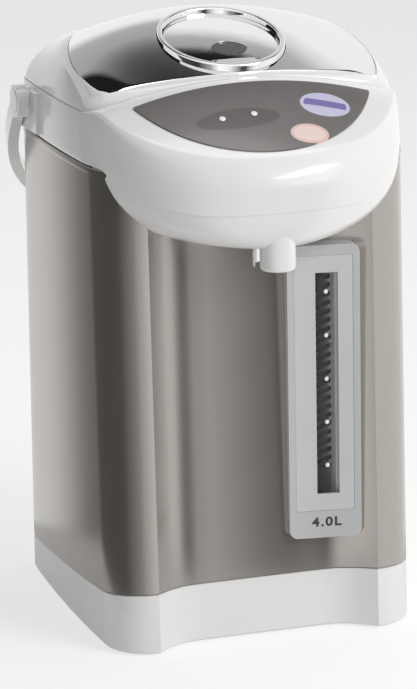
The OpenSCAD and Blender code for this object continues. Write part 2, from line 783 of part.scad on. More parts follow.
module spout_cover() {
    color("#f1f0ed") difference() {
        skin(concat(
            [for (a = [90:-15:0]) bowl_ring(0, a)],
            [for (a = [0:15:90]) bowl_ring(wall, a)]));
        body_block(bowl_z - 20, jacket_top + 20, lip_out + 2 * seat);
        translate([0, -nozzle_y, bowl_z - 5]) cylinder(r = nozzle_r + seat, h = 30);
    }
}

module collar() {
    color("#f1f0ed") difference() {
        skin(concat(
            [collar_foot(seam_edge)],
            [for (a = [0:15:90]) collar_ring(0, 0, a, 0)],
            [for (t = [0.25:0.25:1]) collar_ring(0, 0, 90, t)],
            [for (t = [1:-0.25:0.25]) collar_ring(wall, wall, 90, t)],
            [for (a = [90:-15:0]) collar_ring(wall, wall * sin(a), a, 0)],
            [collar_foot((seam_edge + wall) / 2)]
        ), closed = true);
        mount_places() translate([-30, -mount_w / 2 - seat, -mount_h / 2 - seat])
            cube([60, mount_w + 2 * seat, mount_h + 2 * seat]);
    }
}

shelf_z = rim_z - 6;

module mouth_ring() {
    color("#e6e5e1") translate([0, 0, shelf_z]) linear_extrude(6 - pot_wall - seat) difference() {
            intersection() {
                polygon(footprint(jacket_top, wall + 0.8));
                polygon(collar_outline(wall + 0.8));
            }
            translate([0, pot_y]) circle(r = mouth_r + pot_wall + seat);
        }
}

// ---------- Control panel ----------

panel_half = 69;
panel_low = 126;
panel_arc = 77.7;
panel_t = 0.8;
panel_gap = 0.25;
board_w = 84;
board_h = 30;

function panel_top_y(x) = -lid_front - 8 - 2.7 * pow(x / 70, 2);
function panel_low_y(x) = -panel_low + panel_arc - sqrt(panel_arc * panel_arc - x * x);
function panel_point(x, v, lift) =
    let (y = mix(panel_low_y(x), panel_top_y(x), v))
    [x, y, deck(x, y) + lift];

module control_panel() {
    color("#8a7f79") skin([for (i = [-12:12]) let (x = panel_half * i / 12) concat(
        [for (v = [0:0.25:1]) panel_point(x, v, panel_gap)],
        [for (v = [1:-0.25:0]) panel_point(x, v, panel_gap + panel_t)])]);
}

module on_deck(x, y) {
    translate([x, y, deck(x, y)]) rotate([deck_fall(y), 0, 0])
        rotate([0, atan(2 * deck_crown * x / 4900), 0]) children();
}

lamp_r = 1.8;
lamp_spots = [[-24.3, -102.9], [-5.7, -102.1]];

module lamp_lenses() {
    color("#f5f4ee") for (p = lamp_spots) on_deck(p[0], p[1]) {
        translate([0, 0, panel_gap + panel_t]) cylinder(r = lamp_r, h = 0.3, $fn = 24);
        translate([0, 0, panel_gap + panel_t + 0.3 - eps]) cylinder(r1 = lamp_r, r2 = lamp_r - 0.6, h = 0.4, $fn = 24);
    }
}

module control_board() {
    color("#3f6b46") on_deck(0, -100) translate([0, 0, -wall - 12]) {
        translate([-board_w / 2, -board_h / 2, 0]) cube([board_w, board_h, 1.6]);
        for (x = [-board_w / 2 + 5, board_w / 2 - 5]) translate([x, 0, 1.6 - eps]) cylinder(r = 2.5, h = 7.6, $fn = 24);
        for (x = [-24, -4]) translate([x, -4, 1.6 - eps]) cylinder(r = 2, h = 5, $fn = 24);
    }
}

// ---------- Handle ----------

mount_w = 36;
mount_h = collar_h - 5;
mount_z = jacket_top + 2.5 + mount_h / 2;
mount_in = half_w - wall - 0.6;
pad_out = half_w + 3;
pad_r = 8.5;
pin_head = 1.2;
bail_in = pad_out + clear;
recess_r = boss_r - 2.75;
recess_t = 1.5;
bail_n = 18;

module mount_places() {
    for (sx = [-1, 1]) translate([sx * half_w, pivot_y, mount_z]) children();
}

module at_pivot() {
    translate([0, pivot_y, pivot_z]) children();
}

module handle_mounts() {
    color("#f1f0ed") for (sx = [0, 1]) mirror([sx, 0, 0]) difference() {
        union() {
            translate([mount_in, pivot_y - mount_w / 2, mount_z - mount_h / 2])
                cube([pad_out - 1 - mount_in, mount_w, mount_h]);
            translate([half_w + seat, pivot_y, pivot_z]) rotate([0, 90, 0])
                cylinder(r = pad_r, h = pad_out - half_w - seat);
        }
        translate([mount_in - 1, pivot_y, pivot_z]) rotate([0, 90, 0]) cylinder(r = pin_r + run / 2, h = 30);
        translate([mount_in - 1, pivot_y, pivot_z]) rotate([0, 90, 0]) cylinder(r = pin_r + 2 + seat, h = pin_head + 1 + seat);
    }
}

module handle_pins() {
    color("#c9cacc") for (sx = [0, 1]) mirror([sx, 0, 0]) at_pivot() {
        translate([mount_in, 0, 0]) rotate([0, 90, 0])
            cylinder(r = pin_r, h = bail_in + bail_t - recess_t - 0.3 - mount_in);
        translate([mount_in, 0, 0]) rotate([0, 90, 0]) cylinder(r = pin_r + 2, h = pin_head);
    }
}

// Middle line of the bail's right half in its own plane: x, and the distance from the pivots
function bail_line(a) =
    let (u = bail_reach * power(sin(a), 2 / bail_full),
         x = (bail_in + bail_t / 2) * power(cos(a), 2 / bail_full))
    [x, u];
function bail_side(a, out) =
    let (d = unit(bail_line(min(a + 2, 90)) - bail_line(max(a - 2, 0))))
    bail_line(a) + out * [d[1], -d[0]];
function bail_edge(out) = concat(
    [for (i = [0:bail_n]) bail_side(90 * i / bail_n, out)],
    [for (i = [bail_n - 1:-1:0]) let (p = bail_side(90 * i / bail_n, out)) [-p[0], p[1]]]);

module bail_handle() {
    inner = bail_edge(-bail_t / 2);
    color("#f1f0ed") at_pivot() difference() {
        union() {
            rotate([-bail_fold, 0, 0]) translate([0, 0, -bail_w / 2]) linear_extrude(bail_w)
                polygon(concat(bail_edge(bail_t / 2), [for (i = [len(inner) - 1:-1:0]) inner[i]]));
            for (sx = [0, 1]) mirror([sx, 0, 0]) translate([bail_in, 0, 0]) rotate([0, 90, 0])
                cylinder(r = boss_r, h = bail_t);
        }
        for (sx = [0, 1]) mirror([sx, 0, 0]) translate([bail_in - 1, 0, 0]) rotate([0, 90, 0]) {
            cylinder(r = pin_r + run, h = bail_t + 2);
            translate([0, 0, bail_t + 1 - recess_t]) cylinder(r = recess_r, h = recess_t + 2);
        }
    }
}

module handle_caps() {
    color("#f1f0ed") for (sx = [0, 1]) mirror([sx, 0, 0]) at_pivot()
        translate([bail_in + bail_t - recess_t + seat / 2, 0, 0]) rotate([0, 90, 0])
            cylinder(r = recess_r - seat / 2, h = recess_t + 0.4);
}

// ---------- Lid hinge and catch ----------

hinge_y = half_d;
hinge_z = seam_z + 6;
hinge_r = 2.5;
lug_r = 5;
lug_half = 24;
lug_w = 9;

module along_hinge(x0, x1) {
    translate([x0, hinge_y, hinge_z]) rotate([0, 90, 0]) linear_extrude(x1 - x0) children();
}

module hinge_bracket() {
    color("#f1f0ed") difference() {
        union() {
            for (sx = [0, 1]) mirror([sx, 0, 0]) {
                along_hinge(lug_half + clear, lug_half + clear + lug_w) circle(r = lug_r);
                translate([lug_half + clear, half_d + seat, seam_z - 12]) cube([lug_w, lug_r - seat, 18]);
            }
            translate([-lug_half - clear - lug_w, half_d + seat, seam_z - 22])
                cube([2 * (lug_half + clear + lug_w), lug_r - seat, 20]);
        }
        along_hinge(-60, 60) circle(r = hinge_r + run / 2);
    }
}

module hinge_pin() {
    color("#c9cacc") along_hinge(-lug_half - clear - lug_w + 1, lug_half + clear + lug_w - 1) circle(r = hinge_r);
}

module lid_hinge_lug() {
    color("#e6e5e1") difference() {
        union() {
            along_hinge(-lug_half, lug_half) circle(r = lug_r - 0.4);
            translate([-lug_half, hinge_y - 16, seam_z + 2]) cube([2 * lug_half, 16, 4]);
        }
        along_hinge(-lug_half - 1, lug_half + 1) circle(r = hinge_r + run);
    }
}

catch_y = lid_front + 1.2;
hook_z = deck_z - 11;

module catch_plate() {
    color("#b5b7ba") {
        translate([-9, -catch_y - 3, hook_z + 3.2]) cube([18, 3.6, 1.4]);
        translate([-9, -catch_y - 3, hook_z + 3.2]) cube([18, 1.2, 3.1]);
    }
}

// ---------- Lid ----------

well_r = ring_r - ring_w;
tray_z = seam_z - 11;
tray_floor = 2.5;
tray_rim = 12;

module lid_shell() {
    color("#f1f0ed") difference() {
        skin(concat(
            [for (a = [0:15:90]) lid_ring(0, a)],
            [dome_ring(cap_t, 0.008, hole_r)],
            [for (t = dome_steps) dome_ring(cap_t, t, hole_r)],
            [for (i = [4:-1:0]) dome_ring(cap_t + wall, dome_steps[i], hole_r)],
            [for (a = [90:-15:0]) lid_ring(wall, a)]
        ), closed = true);
        translate([-lug_half - lug_w - 2, hinge_y - 8, seam_z - 2])
            cube([2 * (lug_half + lug_w + 2), 20, 8 + lug_r + 1]);
    }
}

module lid_cap() {
    color("#dfe0e2") skin(concat(
        [for (t = dome_steps) dome_ring(0, t, hole_r)],
        [for (i = [4:-1:0]) dome_ring(cap_t - cap_gap, dome_steps[i], hole_r)]
    ), closed = true);
}

module at_press() {
    translate([0, -press_y, 0]) children();
}

// Everything below the press plate's tilted plane, lowered by drop
module below_ring(drop) {
    translate([0, -press_y, ring_plane(-press_y) - drop]) rotate([press_tilt, 0, 0])
        translate([-100, -100, -120]) cube([200, 200, 120]);
}

module plate_ring() {
    color("#dfe0e2") difference() {
        intersection() {
            at_press() translate([0, 0, seam_z]) tube(ring_r, well_r, 80);
            below_ring(0);
        }
        below_ring(6);
    }
}

module pump_housing() {
    color("#dcdbd7") difference() {
        union() {
            difference() {
                intersection() {
                    at_press() translate([0, 0, tray_z + tray_floor]) tube(ring_r - 1, well_r, 80);
                    below_ring(6 + seat);
                }
                translate([-tab_half - 1, -press_y - ring_r - 5, hook_z - 4]) cube([2 * tab_half + 2, 14, 60]);
            }
            for (sx = [0, 1]) mirror([sx, 0, 0]) {
                at_latch(hub_half + clear, hub_half + clear + ear_t) circle(r = ear_r);
                translate([hub_half + clear, -latch_y - ear_r, hook_z - 8]) cube([ear_t, 2 * ear_r, latch_z - hook_z + 8]);
                translate([hub_half + clear, -press_y - ring_r + 2, hook_z - 8]) cube([ear_t, 5, 6.8]);
            }
        }
        at_latch(-ring_r, ring_r) circle(r = latch_r + run / 2);
    }
}

module lid_tray() {
    color("#f1f0ed") difference() {
        translate([0, 0, tray_z]) difference() {
            linear_extrude(tray_rim) polygon(tray_outline(0));
            translate([0, 0, tray_floor]) linear_extrude(tray_rim) polygon(tray_outline(2));
        }
        at_press() translate([0, 0, tray_z - 1]) cylinder(r = vent_r + seat / 2, h = 10);
    }
}

module inner_lid() {
    color("#c8c9cb") difference() {
        at_pot() translate([0, 0, rim_z + clear + 3]) cylinder(r = mouth_r + 9, h = tray_z - rim_z - clear - 3);
        at_press() translate([0, 0, rim_z]) cylinder(r = vent_r + seat / 2, h = 10);
    }
}

module lid_gasket() {
    color("#d8d5cc") at_pot() translate([0, 0, rim_z + clear]) tube(mouth_r + 7, mouth_r - 2, 3 - clear / 4);
}

// ---------- Pump ----------

head_z = tray_z + tray_floor + 24;
bellows_z = tray_z + tray_floor;
bellows_r = 24.5;
spring_r = 17;
vent_r = 4;
press_skirt = head_z - 2;
plate_low = 3.6;
face_r = 220;

module at_face(lift) {
    translate([0, -press_y, ring_plane(-press_y) + lift]) rotate([press_tilt, 0, 0]) children();
}

module press_plate() {
    color("#dfe0e2") difference() {
        intersection() {
            at_press() translate([0, 0, press_skirt]) cylinder(r = well_r - clear, h = 80, $fn = 96);
            at_face(-0.4) translate([0, 0, -face_r]) sphere(r = face_r, $fn = 360);
        }
        difference() {
            at_press() translate([0, 0, press_skirt - 1]) cylinder(r = well_r - clear - 2, h = 60);
            at_face(-plate_low) translate([-60, -60, 0]) cube([120, 120, 60]);
            at_press() for (p = [[-15, 5], [15, 5], [0, 18]])
                translate([p[0], p[1], head_z]) cylinder(r = 3, h = 60);
        }
        translate([-tab_half - clear, -press_y - 40, press_skirt - 1]) cube([2 * tab_half + 2 * clear, 40 - tab_back, 80]);
        at_face(0) translate([0, 0, -12]) linear_extrude(24) eye(0);
    }
}

tab_back = 24.5;
tab_cut = 3;
eye_y = 15.1;
eye_half = 11;
eye_h = 7.9;

// Lens-shaped opening of the steam vent: two circles that cross at its corners
module eye(gap) {
    off = (eye_half * eye_half / eye_h - eye_h) / 2;
    translate([0, -eye_y]) intersection() {
        translate([0, off]) circle(r = off + eye_h - gap);
        translate([0, -off]) circle(r = off + eye_h - gap);
    }
}

module vent_insert() {
    color("#232325") difference() {
        union() {
            at_face(0) translate([0, -eye_y, -plate_low - 3]) cylinder(r = eye_half + 1, h = 3);
            at_face(0) translate([0, 0, -plate_low - 1]) linear_extrude(plate_low - 0.2) eye(seat);
            at_press() translate([0, 0, head_z + 1]) cylinder(r = 6, h = ring_plane(-press_y) - head_z - 8);
        }
        at_press() translate([0, 0, head_z - 1]) cylinder(r = vent_r + clear, h = ring_plane(-press_y) - head_z - 8);
    }
}

module bellows_head() {
    color("#d8d5cc") at_press() translate([0, 0, head_z - 3]) tube(bellows_r, vent_r + clear, 3 - seat);
}

module bellows() {
    folds = 4;
    step = (head_z - 3 - bellows_z - 0.6) / folds;
    color("#3d3d3f") at_press() translate([0, 0, bellows_z + 0.3]) rotate_extrude() polygon(concat(
        [for (i = [0:folds - 1]) each [[bellows_r - 5, i * step], [bellows_r, (i + 0.5) * step]]],
        [[bellows_r - 5, folds * step], [bellows_r - 6, folds * step]],
        [for (i = [folds - 1:-1:0]) each [[bellows_r - 1, (i + 0.5) * step], [bellows_r - 6, i * step]]]));
}

coil_turns = 5;
coil_steps = 16;
coil_wire = 0.9;

module return_spring() {
    n = coil_turns * coil_steps;
    low = bellows_z + coil_wire + 0.2;
    high = head_z - 3 - coil_wire - 0.2;
    color("#b5b7ba") at_press() skin([for (i = [0:n])
        let (a = 360 * i / coil_steps, z = mix(low, high, i / n))
        [for (j = [0:5]) let (b = -60 * j, r = spring_r + coil_wire * cos(b))
            [r * cos(a), r * sin(a), z + coil_wire * sin(b)]]]);
}

module vent_tube() {
    color("#d2d3d1") at_press() translate([0, 0, rim_z + clear + 3]) tube(vent_r, vent_r - 1.4, head_z - 6.5 - rim_z - 3);
}

// ---------- Lid release ----------

latch_r = 1.5;
latch_y = press_y + 30;
latch_z = ring_plane(-latch_y) - 9.4;
hub_half = 8;
ear_t = 3;
ear_r = 2.4;

module at_latch(x0, x1) {
    translate([x0, -latch_y, latch_z]) rotate([90, 0, 90]) linear_extrude(x1 - x0) children();
}

module latch_pin() {
    color("#c9cacc") at_latch(-hub_half - clear - ear_t, hub_half + clear + ear_t) circle(r = latch_r, $fn = 24);
}

module lid_latch() {
    color("#dfe0e2") difference() {
        union() {
            intersection() {
                at_press() translate([0, 0, latch_z + 1]) cylinder(r = well_r - 2, h = 30);
                translate([0, -press_y - tab_back - 1, latch_z + 1]) linear_extrude(30) polygon([
                    [-tab_half, -15], [tab_half, -15], [tab_half, -tab_cut],
                    [tab_half - tab_cut, 0], [tab_cut - tab_half, 0], [-tab_half, -tab_cut]]);
                below_ring(1.6);
                at_face(-6.2) translate([-60, -60, 0]) cube([120, 120, 20]);
            }
            at_latch(-hub_half, hub_half) circle(r = ear_r + 0.2, $fn = 32);
            translate([-7, -latch_y - 1.4, hook_z]) cube([14, 2.8, latch_z - hook_z + 4.4]);
            translate([-7, -catch_y + 0.6 + clear, hook_z]) cube([14, catch_y - 0.6 - clear - latch_y + 1, 2.6]);
        }
        at_latch(-tab_half - 5, tab_half + 5) circle(r = latch_r + run, $fn = 24);
    }
}

// ---------- The part ----------

rubber_feet();
bottom_plate();
bottom_screws();
base_cover();
body_jacket();
inlet_housing();
inlet_pins();
pot_bracket();
bracket_nut();
heater_plate();
thermostats();
thermal_fuse();
keep_warm_band();
inner_pot();
outlet_elbow();
lower_hose();
level_tube();
upper_hose();
valve_housing();
valve_weight();
spout_pipe();
nozzle();
nozzle_guard();
spout_cover();
collar();
mouth_ring();
control_panel();
lamp_lenses();
control_board();
gauge_frame();
gauge_panel();
gauge_window();
gauge_channel();
gauge_card();
handle_mounts();
handle_pins();
bail_handle();
handle_caps();
hinge_bracket();
hinge_pin();
catch_plate();
lid_hinge_lug();
lid_shell();
lid_cap();
plate_ring();
pump_housing();
lid_tray();
inner_lid();
lid_gasket();
bellows();
return_spring();
vent_tube();
latch_pin();
lid_latch();
press_plate();
bellows_head();
vent_insert();
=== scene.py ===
# %% [markdown]
# # An electric thermo pot
# The pot stands on a table and pumps hot water out of its beak when the round plate in the lid is
# pressed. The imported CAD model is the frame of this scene. Where its solids already have the right
# shape they get a finish, and where the eye asks for more, such as on the domed lid and the beak,
# a finer skin is drawn over the same outlines and stands in for the solid.

# %% The frame
import bmesh
import bpy
import json
import math
from mathutils import Matrix, Vector

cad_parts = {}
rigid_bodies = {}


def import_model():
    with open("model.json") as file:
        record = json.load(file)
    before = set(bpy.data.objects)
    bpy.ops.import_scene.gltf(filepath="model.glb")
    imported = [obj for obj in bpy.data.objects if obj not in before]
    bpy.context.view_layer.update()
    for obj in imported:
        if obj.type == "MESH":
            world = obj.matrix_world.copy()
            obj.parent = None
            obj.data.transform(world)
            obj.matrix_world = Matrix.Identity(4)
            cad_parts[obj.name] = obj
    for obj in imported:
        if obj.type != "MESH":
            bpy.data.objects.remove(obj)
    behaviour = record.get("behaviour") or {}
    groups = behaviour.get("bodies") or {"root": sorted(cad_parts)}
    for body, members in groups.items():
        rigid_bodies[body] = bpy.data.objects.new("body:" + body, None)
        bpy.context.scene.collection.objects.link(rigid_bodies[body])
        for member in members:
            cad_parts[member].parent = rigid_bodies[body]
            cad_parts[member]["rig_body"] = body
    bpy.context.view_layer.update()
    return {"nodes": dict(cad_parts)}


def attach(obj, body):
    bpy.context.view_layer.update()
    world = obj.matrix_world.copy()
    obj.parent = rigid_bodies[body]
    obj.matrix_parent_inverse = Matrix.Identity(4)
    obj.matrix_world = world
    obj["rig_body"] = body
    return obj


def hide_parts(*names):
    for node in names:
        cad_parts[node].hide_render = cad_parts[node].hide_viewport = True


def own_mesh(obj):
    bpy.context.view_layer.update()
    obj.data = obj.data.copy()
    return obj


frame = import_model()
nodes = frame["nodes"]
MM = 0.001
body_of_node = {n: o["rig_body"] for n, o in nodes.items()}

# %% [markdown]
# ## Camera
# A product photographer steps well back and looks slightly down, so that upright edges stay almost
# parallel. The camera here is nearly 1.9 m away with a long lens. Its three axes are written out
# from a turn, a tilt and a slight roll, which keeps the picture's own lean.

# %% The camera
turn, tilt, roll = math.radians(-17.74), math.radians(13.65), math.radians(-1.06)
back = Vector((math.sin(turn) * math.cos(tilt), -math.cos(turn) * math.cos(tilt), math.sin(tilt)))
right = Vector((math.cos(turn), math.sin(turn), 0))
up = back.cross(right)
right_rolled = right * math.cos(roll) + up * math.sin(roll)
up_rolled = up * math.cos(roll) - right * math.sin(roll)
lens = bpy.data.cameras.new("camera")
lens.lens, lens.sensor_width = 168.06, 36
lens.shift_x, lens.shift_y = -0.0037, -0.0334
lens.clip_end = 50
camera = bpy.data.objects.new("camera", lens)
camera.matrix_world = Matrix.Translation((-0.56255, -1.75856, 0.61483)) @ Matrix(
    (right_rolled, up_rolled, back)).transposed().to_4x4()
bpy.context.scene.collection.objects.link(camera)
bpy.context.scene.camera = camera
print("camera:", [round(c, 3) for c in camera.location])

# %% [markdown]
# ## Shader sums as plain expressions
# A node tree is easier to read when a sum looks like a sum. Term wraps one socket and turns
# Python's operators into Math nodes. Finish holds one material and has a single method for every
# other kind of node: the settings go in first, then the values or links of its sockets.

# %% Terms and finishes
class Term:
    def __init__(self, tree, socket):
        self.tree, self.socket = tree, socket

    def maths(self, operation, *values, clamp=False):
        node = self.tree.nodes.new("ShaderNodeMath")
        node.operation, node.use_clamp = operation, clamp
        for slot, value in zip(node.inputs, values):
            plug(self.tree, slot, value)
        return Term(self.tree, node.outputs[0])

    def __add__(self, other): return self.maths("ADD", self, other)
    def __radd__(self, other): return self.maths("ADD", other, self)
    def __sub__(self, other): return self.maths("SUBTRACT", self, other)
    def __rsub__(self, other): return self.maths("SUBTRACT", other, self)
    def __mul__(self, other): return self.maths("MULTIPLY", self, other)
    def __rmul__(self, other): return self.maths("MULTIPLY", other, self)
    def __truediv__(self, other): return self.maths("DIVIDE", self, other)
    def __rtruediv__(self, other): return self.maths("DIVIDE", other, self)
    def __pow__(self, other): return self.maths("POWER", self, other)
    def below(self, edge, soft):
        """1 under the edge and 0 above it, over a soft width."""
        return self.maths("MULTIPLY_ADD", self, -1 / soft, edge / soft + 0.5, clamp=True)


def plug(tree, slot, value):
    if isinstance(value, Term):
        tree.links.new(value.socket, slot)
    elif slot.type == "RGBA" and len(value) == 3:
        slot.default_value = (*value, 1)
    else:
        slot.default_value = value


class Finish:
    def __init__(self, name, **constants):
        self.material = bpy.data.materials.new(name)
        self.material.use_nodes = True
        self.tree = self.material.node_tree
        self.shader = self.tree.nodes["Principled BSDF"]
        self.place = self.node("ShaderNodeTexCoord", out="Object")
        self.set(**constants)

    def node(self, kind, settings=None, values=None, out=0):
        node = self.tree.nodes.new(kind)
        for key, value in (settings or {}).items():
            if key == "stops":
                ramp = node.color_ramp.elements
                while len(ramp) < len(value):
                    ramp.new(0.5)
                for stop, (where, colour) in zip(ramp, value):
                    stop.position, stop.color = where, (*colour, 1)
            else:
                setattr(node, key, value)
        for key, value in (values or {}).items():
            plug(self.tree, node.inputs[key], value)
        return Term(self.tree, node.outputs[out])

    def set(self, **values):
        for key, value in values.items():
            plug(self.tree, self.shader.inputs[key.replace("_", " ")], value)
        return self

    def axes(self):
        split = self.tree.nodes.new("ShaderNodeSeparateXYZ")
        plug(self.tree, split.inputs[0], self.place)
        return [Term(self.tree, s) for s in split.outputs]

    def stretched(self, scale):
        return self.node("ShaderNodeMapping", values={"Vector": self.place, "Scale": scale})

    def noise(self, scale, detail=2.0, rough=0.5, where=None):
        values = {"Vector": where or self.place, "Scale": scale, "Detail": detail, "Roughness": rough}
        return self.node("ShaderNodeTexNoise", values=values, out="Fac")

    def blend(self, mask, low, high):
        """A colour that goes from low to high with the mask."""
        node = self.tree.nodes.new("ShaderNodeMix")
        node.data_type = "RGBA"
        plug(self.tree, node.inputs["Factor"], mask)
        for slot, value in ((node.inputs[6], low), (node.inputs[7], high)):
            plug(self.tree, slot, value)
        return Term(self.tree, node.outputs[2])

    def bump(self, height, strength, distance=0.0002):
        normal = self.node("ShaderNodeBump", values={
            "Strength": strength, "Distance": distance, "Height": height}, out="Normal")
        return self.set(Normal=normal)


print("terms and finishes are ready")

# %% [markdown]
# ## Moulded plastic
# Glossy mouldings are never quite even. Their colour drifts a little over a hand's width, the
# polish varies, and a very fine orange peel softens small highlights. Three noises of different
# sizes give that, and the same recipe with other numbers serves the satin and the black parts.

# %% Plastics
def moulded(name, colour, rough, drift=0.02, peel=0.03, coat=0.0):
    finish = Finish(name, Coat_Roughness=0.05, Specular_IOR_Level=0.5)
    cloud = finish.noise(14, 2)
    deep = tuple(c * (1 - drift) for c in colour)
    finish.set(Base_Color=finish.blend(cloud, deep, colour))
    finish.set(Roughness=rough * 0.85 + finish.noise(45, 3) * (rough * 0.3), Coat_Weight=coat)
    return finish.bump(finish.noise(700, 2), peel)


white = moulded("gloss_white_moulding", (0.86, 0.86, 0.85), 0.16, coat=0.35)
lid_white = moulded("lid_white_moulding", (0.86, 0.86, 0.85), 0.13, coat=0.4)
inner = moulded("satin_inner_moulding", (0.78, 0.775, 0.75), 0.42, peel=0.08)
black = moulded("satin_black_moulding", (0.022, 0.022, 0.024), 0.32, drift=0.3, peel=0.08)
vent_black = moulded("gloss_black_moulding", (0.008, 0.008, 0.009), 0.1, drift=0.3, coat=0.5)
silver = moulded("silver_lacquered_moulding", (0.66, 0.665, 0.665), 0.3, drift=0.04)
lens_milk = moulded("milky_lens", (0.93, 0.93, 0.9), 0.1, coat=0.5)
ceramic = moulded("cream_ceramic", (0.72, 0.68, 0.58), 0.5, drift=0.06, peel=0.15)
silver.set(Metallic=0.3)
print("plastics:", 8)

# %% [markdown]
# ## Metals
# Plated parts are mirrors with a breath of haze. Drawn steel carries fine lines along the way it
# was pulled, cast aluminium is grained, and the jacket is steel sheet under a metallic lacquer:
# fine flakes in a warm grey, with a clear coat over them.

# %% Metals
def plated(name, colour, rough):
    finish = Finish(name, Metallic=1.0)
    haze = finish.noise(30, 3)
    finish.set(Base_Color=finish.blend(haze, tuple(c * 0.97 for c in colour), colour))
    finish.set(Roughness=rough + haze * (rough * 0.5))
    return finish.bump(finish.noise(60, 1), 0.01)


def drawn(name, colour, rough, scale):
    finish = Finish(name, Metallic=1.0)
    lines = finish.noise(1.0, 3, where=finish.stretched(scale))
    finish.set(Base_Color=finish.blend(lines, tuple(c * 0.86 for c in colour), colour))
    finish.set(Roughness=rough * 0.8 + lines * (rough * 0.5))
    return finish.bump(lines, 0.06)


chrome = plated("bright_plating", (0.83, 0.835, 0.845), 0.045)
pins_brass = drawn("drawn_brass", (0.78, 0.6, 0.3), 0.25, (90, 900, 90))
steel = drawn("drawn_steel", (0.7, 0.7, 0.71), 0.28, (900, 900, 60))
pot_steel = drawn("spun_steel", (0.66, 0.66, 0.67), 0.24, (30, 30, 1100))
cast = drawn("cast_aluminium", (0.62, 0.63, 0.64), 0.45, (160, 160, 160))


def lacquered():
    finish = Finish("metallic_lacquer", Metallic=0.82, Coat_Roughness=0.12)
    flakes = finish.noise(1500, 1, 0.6)
    cloud = finish.noise(7, 2)
    tone = finish.blend(flakes, (0.375, 0.345, 0.32), (0.475, 0.442, 0.415))
    shaded = finish.blend(cloud * 0.25, tone, (0.4, 0.372, 0.345))
    finish.set(Base_Color=shaded, Roughness=0.2 + flakes * 0.06, Coat_Weight=0.2)
    return finish.bump(flakes, 0.05, 0.0001)


jacket_metal = lacquered()
print("metals: jacket, plating, steel, brass, aluminium")

# %% [markdown]
# ## Rubber, silicone, glass and the small inner parts
# These hardly show while the lid is shut, yet they are seen from above when it stands open and
# from the back through the socket. Rubber scatters light over its own dust, silicone is milky, and
# the two windows of the gauge let light through.

# %% Soft, clear and inner parts
rubber = moulded("dark_rubber", (0.035, 0.035, 0.037), 0.65, drift=0.3, peel=0.3)
silicone = moulded("milky_silicone", (0.74, 0.72, 0.67), 0.4, drift=0.05, peel=0.1)
silicone.set(Subsurface_Weight=0.1, Subsurface_Radius=(0.01, 0.01, 0.01))


def clear(name, alpha):
    finish = Finish(name, Roughness=0.03, Specular_IOR_Level=0.6)
    cloud = finish.noise(20, 1)
    finish.set(Base_Color=finish.blend(cloud, (0.8, 0.83, 0.84), (0.88, 0.9, 0.9)))
    return finish.set(Alpha=alpha + cloud * 0.01)


window_glass = clear("clear_window", 0.01)
tube_glass = clear("clear_tube", 0.015)


def laminate():
    finish = Finish("green_laminate", Roughness=0.4)
    x, y, _ = finish.axes()
    tracks = (x * 420).maths("SINE", x * 420) * (y * 700).maths("COSINE", y * 700)
    mask = tracks.below(0.25, 0.1)
    finish.set(Base_Color=finish.blend(mask, (0.1, 0.26, 0.12), (0.06, 0.17, 0.08)))
    return finish.bump(mask, 0.2)


board_green = laminate()
mica = drawn("wound_mica", (0.42, 0.38, 0.32), 0.6, (40, 40, 700))
mica.set(Metallic=0.0)
print("rubber, silicone, glass, laminate, mica")

# %% [markdown]
# ## Dressing the solids
# A CAD solid arrives as loose triangles. A copy is welded, its coplanar triangles are joined, and
# its sharp edges get the small radius that every moulded or pressed edge has, because an edge
# without one never catches a highlight. Weighted normals then keep the flats flat. The original
# solid stays in the frame for the physics and is hidden.

# %% Helpers for pieces
def new_piece(name, bm, finish, body, replaced=(), smooth=True):
    mesh = bpy.data.meshes.new(name)
    for face in bm.faces:
        face.smooth = smooth
    bm.to_mesh(mesh)
    bm.free()
    piece = bpy.data.objects.new(name, mesh)
    bpy.context.scene.collection.objects.link(piece)
    mesh.materials.append(finish.material)
    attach(piece, body)
    if replaced:
        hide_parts(*replaced)
    return piece


def weighted(piece, angle=35):
    piece.data.set_sharp_from_angle(angle=math.radians(angle))
    modifier = piece.modifiers.new("even normals", "WEIGHTED_NORMAL")
    modifier.keep_sharp = True
    return piece


def welded(node):
    bm = bmesh.new()
    bm.from_mesh(nodes[node].data)
    bmesh.ops.remove_doubles(bm, verts=bm.verts, dist=2e-6)
    bmesh.ops.dissolve_degenerate(bm, dist=1e-6, edges=bm.edges)
    bmesh.ops.dissolve_limit(bm, angle_limit=math.radians(0.6), verts=bm.verts, edges=bm.edges)
    return bm


def radiused(bm, radius, angle=35, segments=2):
    sharp = [e for e in bm.edges
             if len(e.link_faces) == 2 and e.calc_face_angle(0) > math.radians(angle)]
    bmesh.ops.bevel(bm, geom=sharp, offset=radius * MM, offset_type="OFFSET", segments=segments,
                    profile=0.5, affect="EDGES", clamp_overlap=True, material=-1)
    return bm


def dressed(node, finish, radius=0.4, segments=2, angle=35):
    bm = radiused(welded(node), radius, angle, segments)
    piece = new_piece(node + "_dressed", bm, finish, body_of_node[node], [node])
    return weighted(piece, angle)


def finish_solid(node, finish):
    solid = nodes[node]
    if not solid.material_slots:
        solid.data.materials.append(finish.material)
    for material_slot in solid.material_slots:
        material_slot.material = finish.material


